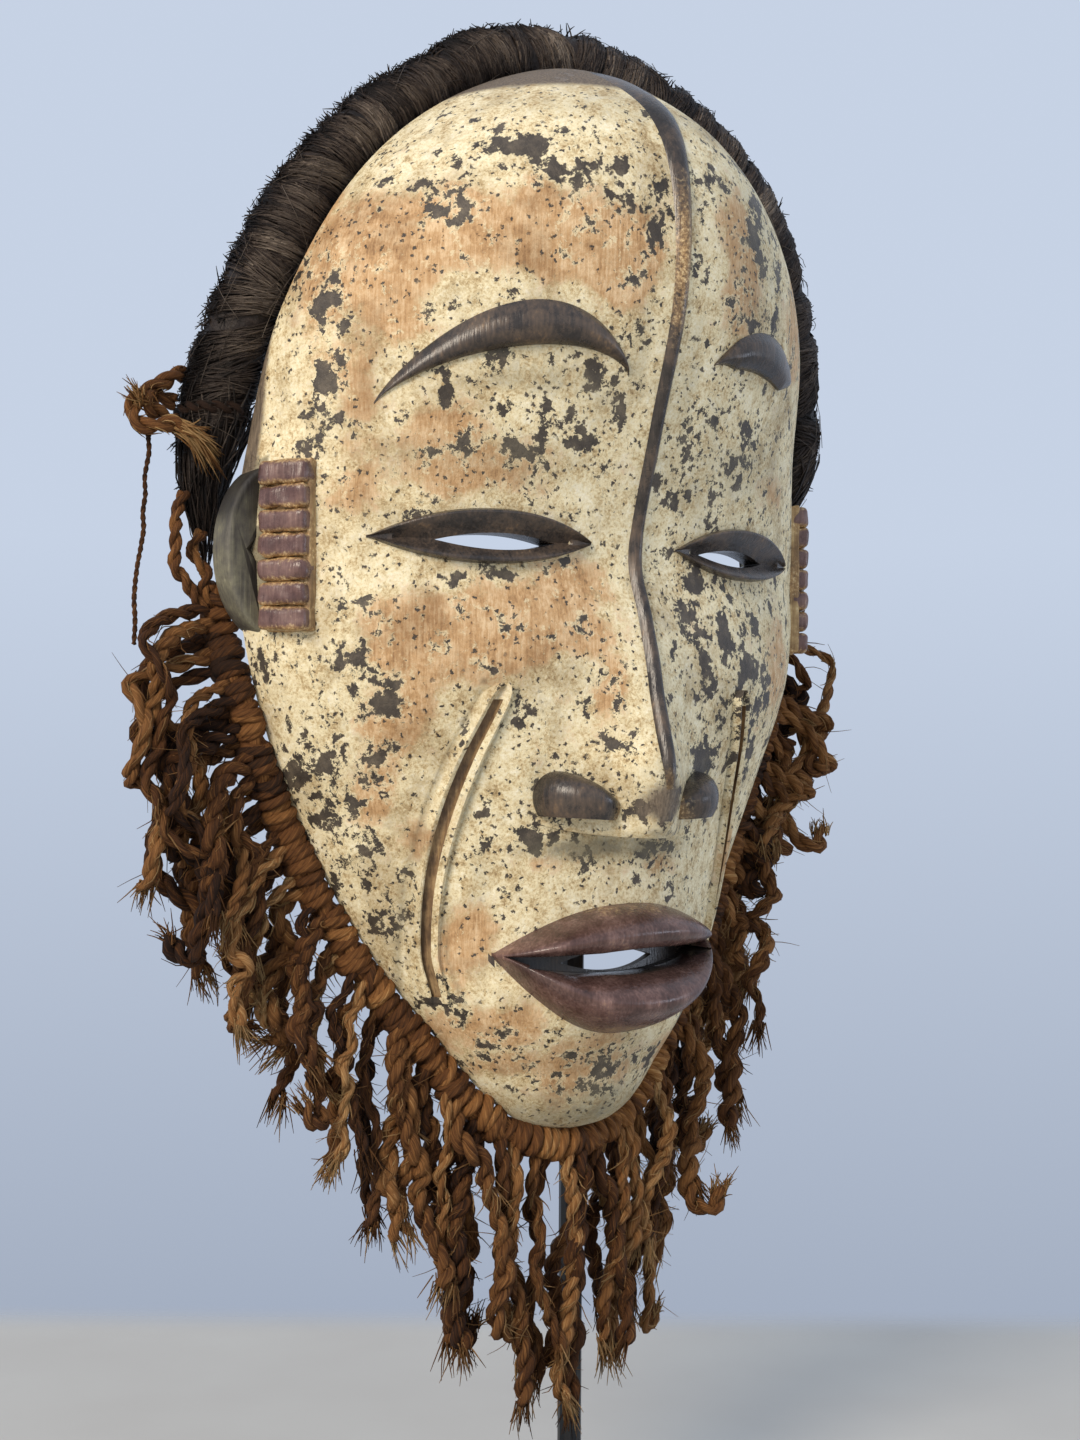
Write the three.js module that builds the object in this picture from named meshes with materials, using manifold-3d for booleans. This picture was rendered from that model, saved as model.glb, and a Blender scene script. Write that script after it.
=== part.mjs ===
// A carved wooden face mask with a bound-fibre hair roll and a beard of twisted cords,
// held upright on a black steel rod with a square foot.
// Millimetres, +Z up. The face looks along -Y and the origin is under the middle of the foot.
import * as THREE from 'three';
import { mergeVertices } from 'three/addons/utils/BufferGeometryUtils.js';
import Module from 'manifold-3d';

const wasm = await Module();
wasm.setup();

// Driving dimensions. The mask has its own heights, measured up from the point of the chin.
const widestHeight = 195;
const wallThickness = 10;
const chinHeight = 140; // chin above the surface that the foot stands on
const faceShift = 30; // the mask's rim plane lies this far behind the middle of the foot
const seatGap = 0.4; // clearance between pieces that touch

// Rim of the carving: angle about the widest point, radius, and how far back the rim lies.
const rimRadius = [
  [-90, 191], [-84, 188], [-72, 162], [-54, 135], [-36, 120], [-18, 113.5], [0, 111.5],
  [18, 112.5], [36, 124], [54, 138], [72, 151], [90, 165],
];
const rimBack = [[-90, -24], [-54, 0], [-18, 2.5], [18, 2], [54, -13], [90, -3]];

// Middle line of the face: height above the chin, and how far it stands in front of the rim plane.
const midline = [
  [4, 24], [7, 31], [13, 38], [25, 42], [45, 46], [65, 43], [90, 44], [115, 49], [150, 61],
  [170, 60], [190, 56], [230, 67], [270, 79], [305, 79], [328, 70], [344, 50], [354, 28], [360, 3],
];
const crossPower = 1.9; // fullness of the cross sections
const crossRoot = 1.7;
// The mouth and nose stand on a broad low swelling, between these heights.
const muzzle = { proud: 7, wide: 46, bottom: 22, bottomFull: 50, topFull: 115, top: 155 };

// Shells are built in rings about the widest point, closer together towards the rim.
const grid = { rings: 11, sectors: 36, hub: 0.35, wallFade: 6 };
const brow = {
  inner: 16, outer: 85, innerHeight: 245, outerHeight: 234, rise: 20, archPower: 0.8,
  thick: 13.5, tipThick: 0.8, taperPower: 0.8, drop: 0.26, proud: 5,
  section: [[0, 0.35], [0.33, 1], [0.67, 0.8], [1, 0.12]], // share of proud, from the lower edge up
};
// Each lid is a raised band that slopes in to the pierced slit.
const eye = {
  middle: 51, half: 34, height: 193.5, upper: 9.3, lower: 7.5, proud: 3.6,
  cornerPower: 2.2, tipWidth: 0.4, innerLap: 0.3, innerShare: 0.15, slope: 1.1, edge: 0.6, fadePower: 0.35,
};
const slit = { middle: 49, half: 17, height: 193, upper: 3, lower: 3 };
const rib = { bottom: 116, top: 350, half: 2.8, proud: 2.6, sink: 0.6 };
const nose = {
  top: 198, bottom: 101, half: 38, narrowing: 14, crowding: 1.7, sink: 0.3,
  wing: 20.5, wingHeight: 115.5, wingRise: 17, wingWide: 12.8, wingTall: 10,
};
const noseRidge = [[101, 0], [103, 14], [108, 18], [120, 18.5], [135, 12], [150, 6.5], [170, 2.5], [198, 0]];
const noseHalf = [[101, 17], [120, 16], [150, 15], [198, 12]];
const pierce = { front: -120, back: 20 };
// The lips overlap by cornerLap where they meet at the corners of the mouth.
const mouth = {
  half: 42.5, corner: 64.5, cornerLap: 0.6, top: 80.5, bottom: 37, slitTop: 64.3, slitBottom: 57.2,
};
const mouthGap = { middle: 0, half: 24, height: 60.7, upper: 3.3, lower: 3.4 };
const lip = {
  upper: 13.5, lower: 14.5, cornerPower: 1.8, opening: 1.3, least: 0.8, innerShare: 0.16,
  roundPower: 0.7, fade: 6, fadePower: 0.6, edge: 0.3,
};
const scar = [[48, 52], [65, 57.5], [93, 59], [124, 55], [149, 48]]; // height, distance from the middle
const scarBand = {
  width: 7.6, proud: 1.8, groove: 3.6, grooveDepth: 3.8, grooveLift: 4, sink: 2.5,
  narrowing: [[0, 0.55], [0.3, 0.8], [0.6, 1.05], [0.92, 1], [1, 0.7]],
};
const earBar = {
  front: [98.5, -23.5], facing: [0.87, -0.5], length: 17, bottom: 164.5, ridges: 7, pitch: 7.5,
  proud: 4.8, groove: 2.4, round: 1.8, root: 6,
};
const earLobe = {
  middle: 102, reach: 17, height: 190, half: 27, front: -6, thick: 11, root: 6,
  notch: { radius: 9, depth: 14, narrow: 0.8, tall: 1.5 },
};

const rollRadius = 13;
// Seat of the roll beside the rim: angle, outwards, backwards. It lies behind the rim on the right side.
const rollSeat = [
  [20, 12.8, 5], [45, 12.9, 5], [62, 14.8, 4], [75, 14.6, 5.4], [84, 12, 9.4], [90, 9.2, 12.2],
  [96, 6.4, 13.6], [105, 3.8, 13.7], [125, 4.3, 13.5], [140, 4.4, 13.4], [160, 7, 12.6],
];
const rollRun = { from: 22, to: 158, step: 8 }; // angles along the rim
const rollEnds = [[116, 17, 212], [114, 19.5, 196]]; // on the left side, mirrored on the right
const rollTaper = { length: 0.1, share: 0.55 };
const tie = {
  at: 0.924, radius: 2.8, knot: 6, knotOut: 7, knotSides: 5, knotSteps: 9, from: -80, to: 110, step: 19,
  climb: 25,
};
const headerRadius = 4.5;
const headerSeat = headerRadius + seatGap;
const headerRun = { from: -26, to: -154, step: 8, back: 1.5 };
const headerEnds = [[113, 10.5, 164], [114, 11, 180]];
const cordRadius = 3.8;
const cordsPerSide = 18;
// Beard cords by their place: 0 at the chin, 100 behind the ear.
const tipHeight = [[0, -88], [15, -62], [30, -28], [50, 18], [68, 52], [90, 82], [100, 92]];
const swing = [[0, 1], [30, 5], [50, 10], [68, 18], [84, 27], [100, 36]];
const beard = {
  headerShare: 0.49, rowLean: 0.35, rowShift: 4.6, unevenness: 7, unevenStep: 2.4,
  bendDrop: 6, bendShare: 0.55, hangDrop: 8, swingDrop: 0.3, straightDrop: 4,
};
// The thin string's route, from the knot down to the first beard cord.
const stringRadius = 0.9;
const stringRoute = [
  [-137, 12.5, 224.2], [-136.7, 12.5, 220], [-138.1, 12.4, 212], [-137.9, 12.3, 206.5], [-138.7, 12.2, 201],
  [-138.5, 12, 196], [-139.5, 11.8, 190], [-140.7, 11.6, 184], [-141.8, 11.2, 174], [-141.5, 11, 167.5],
  [-141.9, 10.8, 160],
];

const rod = {
  radius: 4, x: 10, y: -10, top: 289, arm: 3, armHeights: [285, 30], pad: 6, padThick: 3, padGap: 5,
};
const foot = { size: 150, thick: 10, bevel: 1 };

const rad = THREE.MathUtils.degToRad;

// Smooth curve through a table of [position, value] pairs.
function along(table, at) {
  const last = table.length - 1;
  if (at <= table[0][0]) return table[0][1];
  if (at >= table[last][0]) return table[last][1];
  let i = 0;
  while (table[i + 1][0] < at) i += 1;
  const slope = (k) => {
    const a = Math.max(k - 1, 0);
    const b = Math.min(k + 1, last);
    return (table[b][1] - table[a][1]) / (table[b][0] - table[a][0]);
  };
  const span = table[i + 1][0] - table[i][0];
  const t = (at - table[i][0]) / span;
  const h = t * t * (3 - 2 * t);
  const rise = span * (t * (1 - t) * (1 - t) * slope(i) - t * t * (1 - t) * slope(i + 1));
  return table[i][1] * (1 - h) + table[i + 1][1] * h + rise;
}

// Point of the rim at an angle in degrees: 0 is the left side of the mask (+X), 90 the crown.
function rimPoint(angle) {
  const folded = angle > 90 ? 180 - angle : angle < -90 ? -180 - angle : angle;
  const radius = along(rimRadius, folded);
  return new THREE.Vector3(
    radius * Math.cos(rad(angle)),
    along(rimBack, folded),
    widestHeight + radius * Math.sin(rad(angle)),
  );
}

// Half width of the carving and the place of its rim at a height above the chin.
function rimAtHeight(height) {
  let low = -90;
  let high = 90;
  for (let i = 0; i < 24; i += 1) {
    const middle = (low + high) / 2;
    if (rimPoint(middle).z < height) low = middle;
    else high = middle;
  }
  return rimPoint((low + high) / 2);
}

// The smooth face under all the carving.
function faceY(x, z) {
  const rim = rimAtHeight(z);
  const share = Math.min(Math.abs(x) / Math.max(rim.x, 0.01), 1);
  const full = (1 - share ** crossPower) ** (1 / crossRoot);
  const rise = THREE.MathUtils.smoothstep(z, muzzle.bottom, muzzle.bottomFull);
  const fall = THREE.MathUtils.smoothstep(z, muzzle.topFull, muzzle.top);
  const swell = muzzle.proud * rise * (1 - fall) * Math.exp(-((x / muzzle.wide) ** 4));
  return rim.y + (-along(midline, z) - rim.y) * full - swell;
}

function noseProud(x, z) {
  const ridge = along(noseRidge, z) * Math.exp(-((x / along(noseHalf, z)) ** 2));
  const across = (Math.abs(x) - nose.wing) / nose.wingWide;
  const up = (z - nose.wingHeight) / nose.wingTall;
  const wing = nose.wingRise * Math.sqrt(Math.max(0, 1 - across * across - up * up));
  return Math.max(ridge, wing);
}

// Closed geometry whose faces are turned outwards, whichever way round they were listed.
function geometryOf(points, faces) {
  const volume = faces.reduce((sum, [a, b, c]) => {
    const [p, q, r] = [points[a], points[b], points[c]];
    return sum + p[0] * (q[1] * r[2] - q[2] * r[1]) - p[1] * (q[0] * r[2] - q[2] * r[0])
      + p[2] * (q[0] * r[1] - q[1] * r[0]);
  }, 0);
  const geometry = new THREE.BufferGeometry();
  geometry.setAttribute('position', new THREE.Float32BufferAttribute(points.flat(), 3));
  geometry.setIndex((volume < 0 ? faces.map(([a, b, c]) => [a, c, b]) : faces).flat());
  return geometry;
}

function mirrored(geometry) {
  const twin = geometry.clone().scale(-1, 1, 1);
  if (!twin.index) twin.setIndex([...Array(twin.attributes.position.count).keys()]);
  const index = twin.index.array;
  for (let i = 0; i < index.length; i += 3) [index[i], index[i + 1]] = [index[i + 1], index[i]];
  return twin;
}

function solidOf(geometry) {
  const bare = geometry.clone();
  bare.deleteAttribute('normal');
  bare.deleteAttribute('uv');
  const merged = mergeVertices(bare, 1e-4);
  return new wasm.Manifold(new wasm.Mesh({
    numProp: 3,
    vertProperties: Float32Array.from(merged.attributes.position.array),
    triVerts: Uint32Array.from(merged.index.array),
  }));
}

function geometryFrom(solid) {
  const mesh = solid.getMesh();
  const geometry = new THREE.BufferGeometry();
  geometry.setAttribute('position', new THREE.BufferAttribute(Float32Array.from(mesh.vertProperties), 3));
  geometry.setIndex(new THREE.BufferAttribute(Uint32Array.from(mesh.triVerts), 1));
  return geometry;
}

// Two skins over the same grid of places, joined round their edge into one closed solid.
function twoSkins(outer, inner, rows, columns, wrap) {
  const points = [];
  const width = wrap ? columns : columns + 1;
  for (const skin of [outer, inner]) {
    for (let r = 0; r <= rows; r += 1) for (let c = 0; c < width; c += 1) points.push(skin(r, c));
  }
  const shift = (rows + 1) * width;
  const at = (r, c) => r * width + (c % width);
  const faces = [];
  for (let r = 0; r < rows; r += 1) {
    for (let c = 0; c < columns; c += 1) {
      const [a, b, d, e] = [at(r, c), at(r, c + 1), at(r + 1, c + 1), at(r + 1, c)];
      faces.push([a, b, d], [a, d, e], [shift + a, shift + d, shift + b], [shift + a, shift + e, shift + d]);
    }
  }
  const wallFace = (a, b) => faces.push([a, shift + a, b], [b, shift + a, shift + b]);
  for (let c = 0; c < columns; c += 1) {
    wallFace(at(rows, c + 1), at(rows, c));
    if (!wrap) wallFace(at(0, c), at(0, c + 1));
  }
  if (!wrap) {
    for (let r = 0; r < rows; r += 1) {
      wallFace(at(r + 1, 0), at(r, 0));
      wallFace(at(r, columns), at(r + 1, columns));
    }
  }
  return { points, faces };
}

// Relief on the face: place(t, s) gives [x, z], and proud(t, s) its height over the smooth face.
function relief(place, proud, steps, strips, sink = 5) {
  const spot = (r, c) => place(r / steps, c / strips);
  const front = (r, c) => {
    const [x, z] = spot(r, c);
    return [x, faceY(x, z) - proud(r / steps, c / strips, x, z), z];
  };
  const back = (r, c) => {
    const [x, z] = spot(r, c);
    return [x, faceY(x, z) + sink, z];
  };
  const { points, faces } = twoSkins(front, back, steps, strips, false);
  return geometryOf(points, faces);
}

// A prism along Y with a pointed lens for its outline, long enough to pierce the face.
function lensPrism({ middle, half, height, upper, lower }) {
  const outline = new THREE.Shape();
  outline.moveTo(middle - half, height);
  const parts = 6;
  for (let i = 1; i <= parts; i += 1) {
    const t = (2 * i) / parts - 1;
    outline.lineTo(middle + half * t, height - lower * (1 - t * t));
  }
  for (let i = 1; i < parts; i += 1) {
    const t = 1 - (2 * i) / parts;
    outline.lineTo(middle + half * t, height + upper * (1 - t * t));
  }
  const depth = pierce.back - pierce.front;
  const prism = new THREE.ExtrudeGeometry(outline, { depth, bevelEnabled: false });
  return prism.rotateX(Math.PI / 2).translate(0, pierce.back, 0);
}

function shell() {
  const { rings, sectors, hub, wallFade } = grid;
  const share = (r) => Math.sin((Math.PI / 2) * ((r + hub) / (rings + hub)));
  const outer = (r, c) => {
    const rim = rimPoint((360 * c) / sectors - 180);
    const part = r === rings ? 1 : share(r);
    const x = rim.x * part;
    const z = widestHeight + (rim.z - widestHeight) * part;
    return [x, r === rings ? rim.y : faceY(x, z), z];
  };
  const inner = (r, c) => {
    const [x, y, z] = outer(r, c);
    const part = r === rings ? 1 : share(r);
    const reach = Math.hypot(x, z - widestHeight) / part;
    const inward = (reach - wallThickness) / reach;
    const depth = wallThickness * (1 - part ** wallFade);
    return [x * inward, y + depth, widestHeight + (z - widestHeight) * inward];
  };
  const { points, faces } = twoSkins(outer, inner, rings, sectors, true);
  const shift = (rings + 1) * sectors;
  points.push([0, faceY(0, widestHeight), widestHeight]);
  points.push([0, faceY(0, widestHeight) + wallThickness, widestHeight]);
  const pole = points.length - 2;
  for (let c = 0; c < sectors; c += 1) {
    const next = (c + 1) % sectors;
    faces.push([pole, next, c], [pole + 1, shift + c, shift + next]);
  }
  return geometryOf(points, faces);
}

function browRelief() {
  const middleLine = (t) => brow.innerHeight + (brow.outerHeight - brow.innerHeight) * t
    + brow.rise * (1 - (2 * t - 1) ** 2) ** brow.archPower;
  const place = (t, s) => {
    const thick = Math.max(brow.thick * Math.sin(Math.PI * t) ** brow.taperPower, brow.tipThick);
    return [brow.inner + (brow.outer - brow.inner) * t, middleLine(t) + thick * (s - 0.5 - brow.drop)];
  };
  const proud = (t, s) => brow.proud * Math.sqrt(Math.sin(Math.PI * t)) * along(brow.section, s);
  return relief(place, proud, 10, 3);
}

function lidRelief(isUpper) {
  const sign = isUpper ? 1 : -1;
  const outerRise = isUpper ? eye.upper : eye.lower;
  const place = (t, s) => {
    const across = 2 * t - 1;
    const x = eye.middle + eye.half * across;
    const nearSlit = (x - slit.middle) / slit.half;
    const inner = Math.max(slit.upper * (1 - nearSlit * nearSlit), 0) - eye.innerLap;
    const outer = Math.max(outerRise * (1 - Math.abs(across) ** eye.cornerPower), eye.tipWidth);
    return [x, eye.height + sign * (inner + (outer - inner) * s)];
  };
  const proud = (t, s) => (s < 1 ? eye.proud * (eye.innerShare + eye.slope * s) : eye.edge)
    * Math.sin(Math.PI * t) ** eye.fadePower - 0.2;
  return relief(place, proud, 10, 2);
}

function ribRelief() {
  const place = (t, s) => [rib.half * (2 * s - 1), rib.bottom + (rib.top - rib.bottom) * t];
  const proud = (t, s, x, z) => rib.proud * Math.sin(Math.PI * s) - rib.sink + noseProud(0, z);
  return relief(place, proud, 20, 2);
}

function noseRelief() {
  const place = (t, s) => {
    const z = nose.bottom + (nose.top - nose.bottom) * t ** nose.crowding;
    const half = nose.half - nose.narrowing * t;
    return [half * (2 * s - 1), z];
  };
  return relief(place, (t, s, x, z) => noseProud(x, z) - nose.sink, 13, 14);
}

function lipRelief(isUpper) {
  const place = (t, s) => {
    const across = 2 * t - 1;
    const fall = 1 - Math.abs(across) ** lip.cornerPower;
    const outerEdge = mouth.corner + ((isUpper ? mouth.top : mouth.bottom) - mouth.corner) * fall;
    const open = Math.min(fall * lip.opening, 1);
    const slitEdge = isUpper ? mouth.slitTop : mouth.slitBottom;
    const lap = (isUpper ? -mouth.cornerLap : mouth.cornerLap) * (1 - open);
    const innerEdge = mouth.corner + (slitEdge - mouth.corner) * open + lap;
    const edge = isUpper
      ? Math.max(outerEdge, innerEdge + lip.least) : Math.min(outerEdge, innerEdge - lip.least);
    return [mouth.half * across, innerEdge + (edge - innerEdge) * s];
  };
  const height = isUpper ? lip.upper : lip.lower;
  const proud = (t, s) => {
    const round = Math.sin(Math.PI * (lip.innerShare + (1 - lip.innerShare) * s)) ** lip.roundPower;
    return height * round * (1 - Math.abs(2 * t - 1) ** lip.fade) ** lip.fadePower + lip.edge * (1 - 2 * s);
  };
  return relief(place, proud, 12, 4);
}

function scarRelief(width, proud) {
  const bottom = scar[0][0];
  const top = scar[scar.length - 1][0];
  const place = (t, s) => {
    const z = bottom + (top - bottom) * t;
    return [along(scar, z) + width * (s - 0.5) * along(scarBand.narrowing, t), z];
  };
  return relief(place, () => proud, 9, 1, scarBand.sink);
}

function earBarSolid() {
  const outline = new THREE.Shape();
  const { bottom, ridges, pitch, proud, groove, round, root, front, facing, length } = earBar;
  outline.moveTo(-root, bottom);
  for (let i = 0; i < ridges; i += 1) {
    const z = bottom + pitch * i;
    outline.lineTo(proud - groove, z);
    outline.lineTo(proud, z + round);
    outline.lineTo(proud, z + pitch - round);
  }
  outline.lineTo(proud - groove, bottom + pitch * ridges);
  outline.lineTo(-root, bottom + pitch * ridges);
  const bar = new THREE.ExtrudeGeometry(outline, { depth: length, bevelEnabled: false });
  // The outline is turned upright and the bar runs back from the front along the side of the face.
  const out = new THREE.Vector3(...facing, 0).normalize();
  const up = new THREE.Vector3(0, 0, 1);
  const forward = new THREE.Vector3().crossVectors(out, up);
  bar.applyMatrix4(new THREE.Matrix4().makeBasis(out, up, forward));
  return bar.translate(front[0] - length * forward.x, front[1] - length * forward.y, 0);
}

function earLobeSolid() {
  const { middle, reach, height, half, front, thick, root, notch } = earLobe;
  const outline = new THREE.Shape();
  outline.moveTo(middle - root, height - half);
  outline.absellipse(middle, height, reach, half, -Math.PI / 2, Math.PI / 2, false, 0);
  outline.lineTo(middle - root, height + half);
  const lobe = new THREE.ExtrudeGeometry(outline, { depth: thick, bevelEnabled: false, curveSegments: 8 });
  lobe.rotateX(Math.PI / 2).translate(0, front + thick, 0);
  const hollow = new THREE.ConeGeometry(notch.radius, notch.depth, 4);
  hollow.scale(notch.narrow, 1, notch.tall).translate(middle + root, front, height);
  return geometryFrom(solidOf(lobe).subtract(solidOf(hollow)));
}

function carvedMask() {
  let wood = solidOf(shell());
  const add = (geometry) => { wood = wood.add(solidOf(geometry)); };
  const cut = (geometry) => { wood = wood.subtract(solidOf(geometry)); };
  const both = (act, geometry) => {
    act(geometry);
    act(mirrored(geometry));
  };
  add(noseRelief());
  add(ribRelief());
  add(lipRelief(true));
  add(lipRelief(false));
  both(add, browRelief());
  both(add, lidRelief(true));
  both(add, lidRelief(false));
  both(add, scarRelief(scarBand.width, scarBand.proud));
  both(cut, scarRelief(scarBand.groove, scarBand.grooveLift).translate(0, scarBand.grooveDepth, 0));
  both(add, earBarSolid());
  both(add, earLobeSolid());
  both(cut, lensPrism(slit));
  cut(lensPrism(mouthGap));
  return geometryFrom(wood);
}

// A round body along a curve whose thickness changes on the way.
function taperedBody(curve, radiusAt, steps, sides) {
  const frames = curve.computeFrenetFrames(steps, false);
  const points = [];
  const faces = [];
  for (let i = 0; i <= steps; i += 1) {
    const centre = curve.getPointAt(i / steps);
    for (let k = 0; k < sides; k += 1) {
      const turn = (2 * Math.PI * k) / sides;
      const radius = radiusAt(i / steps);
      const spot = centre.clone()
        .addScaledVector(frames.normals[i], radius * Math.cos(turn))
        .addScaledVector(frames.binormals[i], radius * Math.sin(turn));
      points.push(spot.toArray());
      const next = (k + 1) % sides;
      if (i < steps) {
        const [a, b] = [i * sides + k, i * sides + next];
        faces.push([a, b, b + sides], [a, b + sides, a + sides]);
      }
    }
  }
  points.push(curve.getPointAt(0).toArray(), curve.getPointAt(1).toArray());
  const first = points.length - 2;
  const end = steps * sides;
  for (let k = 0; k < sides; k += 1) {
    const next = (k + 1) % sides;
    faces.push([first, next, k], [first + 1, end + k, end + next]);
  }
  return geometryOf(points, faces);
}

function polygonTube(curve, radius, sides, steps) {
  const outline = new THREE.Shape();
  for (let k = 0; k < sides; k += 1) {
    const turn = (2 * Math.PI * k) / sides;
    if (k === 0) outline.moveTo(radius, 0);
    else outline.lineTo(radius * Math.cos(turn), radius * Math.sin(turn));
  }
  return new THREE.ExtrudeGeometry(outline, { steps, bevelEnabled: false, extrudePath: curve });
}

// A point beside the rim: pushed outwards in the plane of the rim, and backwards.
function besideRim(angle, outward, back) {
  const run = rimPoint(angle + 1).sub(rimPoint(angle - 1));
  const away = new THREE.Vector3(run.z, 0, -run.x).normalize();
  return rimPoint(angle).addScaledVector(away, outward).add(new THREE.Vector3(0, back, 0));
}

// A smooth curve from the left side to the right, with the same end points mirrored on both sides.
function curveWithEnds(points, ends) {
  const end = (side) => ends.map(([x, y, z]) => new THREE.Vector3(side * x, y, z));
  return new THREE.CatmullRomCurve3([...end(1).reverse(), ...points, ...end(-1)], false, 'centripetal');
}

function rollCurve() {
  const points = [];
  const outward = rollSeat.map(([angle, out]) => [angle, out]);
  const back = rollSeat.map(([angle, , behind]) => [angle, behind]);
  for (let angle = rollRun.from; angle <= rollRun.to; angle += rollRun.step) {
    points.push(besideRim(angle, along(outward, angle), along(back, angle)));
  }
  return curveWithEnds(points, rollEnds);
}

function hairRoll() {
  const radiusAt = (t) => {
    const fromEnd = Math.min(Math.min(t, 1 - t) / rollTaper.length, 1);
    return rollRadius * (rollTaper.share + (1 - rollTaper.share) * Math.sin((Math.PI / 2) * fromEnd));
  };
  return taperedBody(rollCurve(), radiusAt, 38, 10);
}

function headerCurve() {
  const points = [];
  for (let angle = headerRun.from; angle >= headerRun.to; angle -= headerRun.step) {
    points.push(besideRim(angle, headerSeat, headerRun.back));
  }
  return curveWithEnds(points, headerEnds);
}

function beardCord(index, side) {
  const place = (100 * (index + 0.5)) / cordsPerSide;
  const start = headerCurve().getPointAt(0.5 - (side * beard.headerShare * place) / 100);
  const out = along(swing, place);
  const row = index % 2 === 0 ? -1 : 1;
  const away = new THREE.Vector3(start.x, 0, start.z - widestHeight).normalize();
  const leave = away.clone().setY(beard.rowLean * row).normalize();
  const from = start.clone().addScaledVector(leave, headerRadius + cordRadius * 0.8 + seatGap);
  const hang = new THREE.Vector3(start.x + side * out, start.y + row * beard.rowShift, 0);
  const tip = along(tipHeight, place) + beard.unevenness * Math.sin(index * beard.unevenStep + side);
  const below = new THREE.Vector3(hang.x, hang.y, from.z - beard.bendDrop);
  const bend = from.clone().lerp(below, beard.bendShare);
  const points = [from, bend];
  const topOfHang = Math.min(from.z - beard.hangDrop - out * beard.swingDrop, bend.z - beard.straightDrop);
  for (let i = 0; i <= 3; i += 1) {
    points.push(new THREE.Vector3(hang.x, hang.y, topOfHang + ((tip - topOfHang) * i) / 3));
  }
  return polygonTube(new THREE.CatmullRomCurve3(points, false, 'centripetal'), cordRadius, 5, 6);
}

function hangingString() {
  const points = stringRoute.map((spot) => new THREE.Vector3(...spot));
  return polygonTube(new THREE.CatmullRomCurve3(points), stringRadius, 8, 13);
}

// The cord tied round the lower end of the hair roll, with its knot.
function tieCord() {
  const roll = rollCurve();
  const centre = roll.getPointAt(tie.at);
  const tangent = roll.getTangentAt(tie.at);
  const outward = new THREE.Vector3(-1, 0, 0).addScaledVector(tangent, tangent.x).normalize();
  const sideways = new THREE.Vector3().crossVectors(tangent, outward);
  const points = [];
  const seat = rollRadius + tie.radius + seatGap + 0.2;
  for (let turn = tie.from; turn <= tie.to; turn += tie.step) {
    points.push(centre.clone()
      .addScaledVector(outward, seat * Math.cos(rad(turn)))
      .addScaledVector(sideways, seat * Math.sin(rad(turn)))
      .addScaledVector(tangent, turn / tie.climb));
  }
  const band = polygonTube(new THREE.CatmullRomCurve3(points), tie.radius, 6, 12);
  const knot = new THREE.TorusGeometry(tie.knot, tie.radius, tie.knotSides, tie.knotSteps);
  const spot = centre.clone().addScaledVector(outward, seat + tie.knotOut);
  knot.rotateX(Math.PI / 2).translate(spot.x, spot.y, spot.z);
  return geometryFrom(solidOf(band).add(solidOf(knot)));
}

function cylinderBetween(from, to, radius, sides) {
  const length = from.distanceTo(to);
  const body = new THREE.CylinderGeometry(radius, radius, length, sides);
  const turn = new THREE.Quaternion().setFromUnitVectors(
    new THREE.Vector3(0, 1, 0), to.clone().sub(from).normalize(),
  );
  const middle = from.clone().add(to).multiplyScalar(0.5);
  return body.applyQuaternion(turn).translate(middle.x, middle.y, middle.z);
}

// One upright rod with two arms welded to it, each ending in a round pad inside the mask.
function standRod() {
  const bottom = foot.thick + seatGap - chinHeight;
  const at = (y, z) => new THREE.Vector3(rod.x, y, z);
  let steel = solidOf(cylinderBetween(at(rod.y, bottom), at(rod.y, rod.top), rod.radius, 12));
  for (const height of rod.armHeights) {
    const wall = faceY(rod.x, height) + wallThickness + rod.padGap;
    steel = steel.add(solidOf(cylinderBetween(at(rod.y, height), at(wall + 1, height), rod.arm, 8)));
    const padded = cylinderBetween(at(wall + rod.padThick, height), at(wall, height), rod.pad, 12);
    steel = steel.add(solidOf(padded));
  }
  return geometryFrom(steel);
}

function standFoot() {
  const half = foot.size / 2 - foot.bevel;
  const outline = new THREE.Shape();
  outline.moveTo(-half, -half);
  outline.lineTo(half, -half);
  outline.lineTo(half, half);
  outline.lineTo(-half, half);
  const plate = new THREE.ExtrudeGeometry(outline, {
    depth: foot.thick - 2 * foot.bevel, bevelThickness: foot.bevel, bevelSize: foot.bevel, bevelSegments: 1,
  });
  return plate.translate(0, 0, foot.bevel);
}

const finishes = {
  paintedWood: new THREE.MeshStandardMaterial({ color: '#d9c79c', roughness: 0.8, metalness: 0 }),
  plantFibre: new THREE.MeshStandardMaterial({ color: '#5a4a3d', roughness: 0.95, metalness: 0 }),
  ropeFibre: new THREE.MeshStandardMaterial({ color: '#a9793f', roughness: 0.9, metalness: 0 }),
  cordFibre: new THREE.MeshStandardMaterial({ color: '#7d5026', roughness: 0.92, metalness: 0 }),
  blackSteel: new THREE.MeshStandardMaterial({ color: '#1a1d20', roughness: 0.35, metalness: 0.6 }),
};

const model = new THREE.Group();
const mask = new THREE.Group();
mask.position.set(0, faceShift, chinHeight);
model.add(mask);

function addPiece(group, name, geometry, finish) {
  const piece = new THREE.Mesh(geometry, finish);
  piece.name = name;
  group.add(piece);
}

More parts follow.
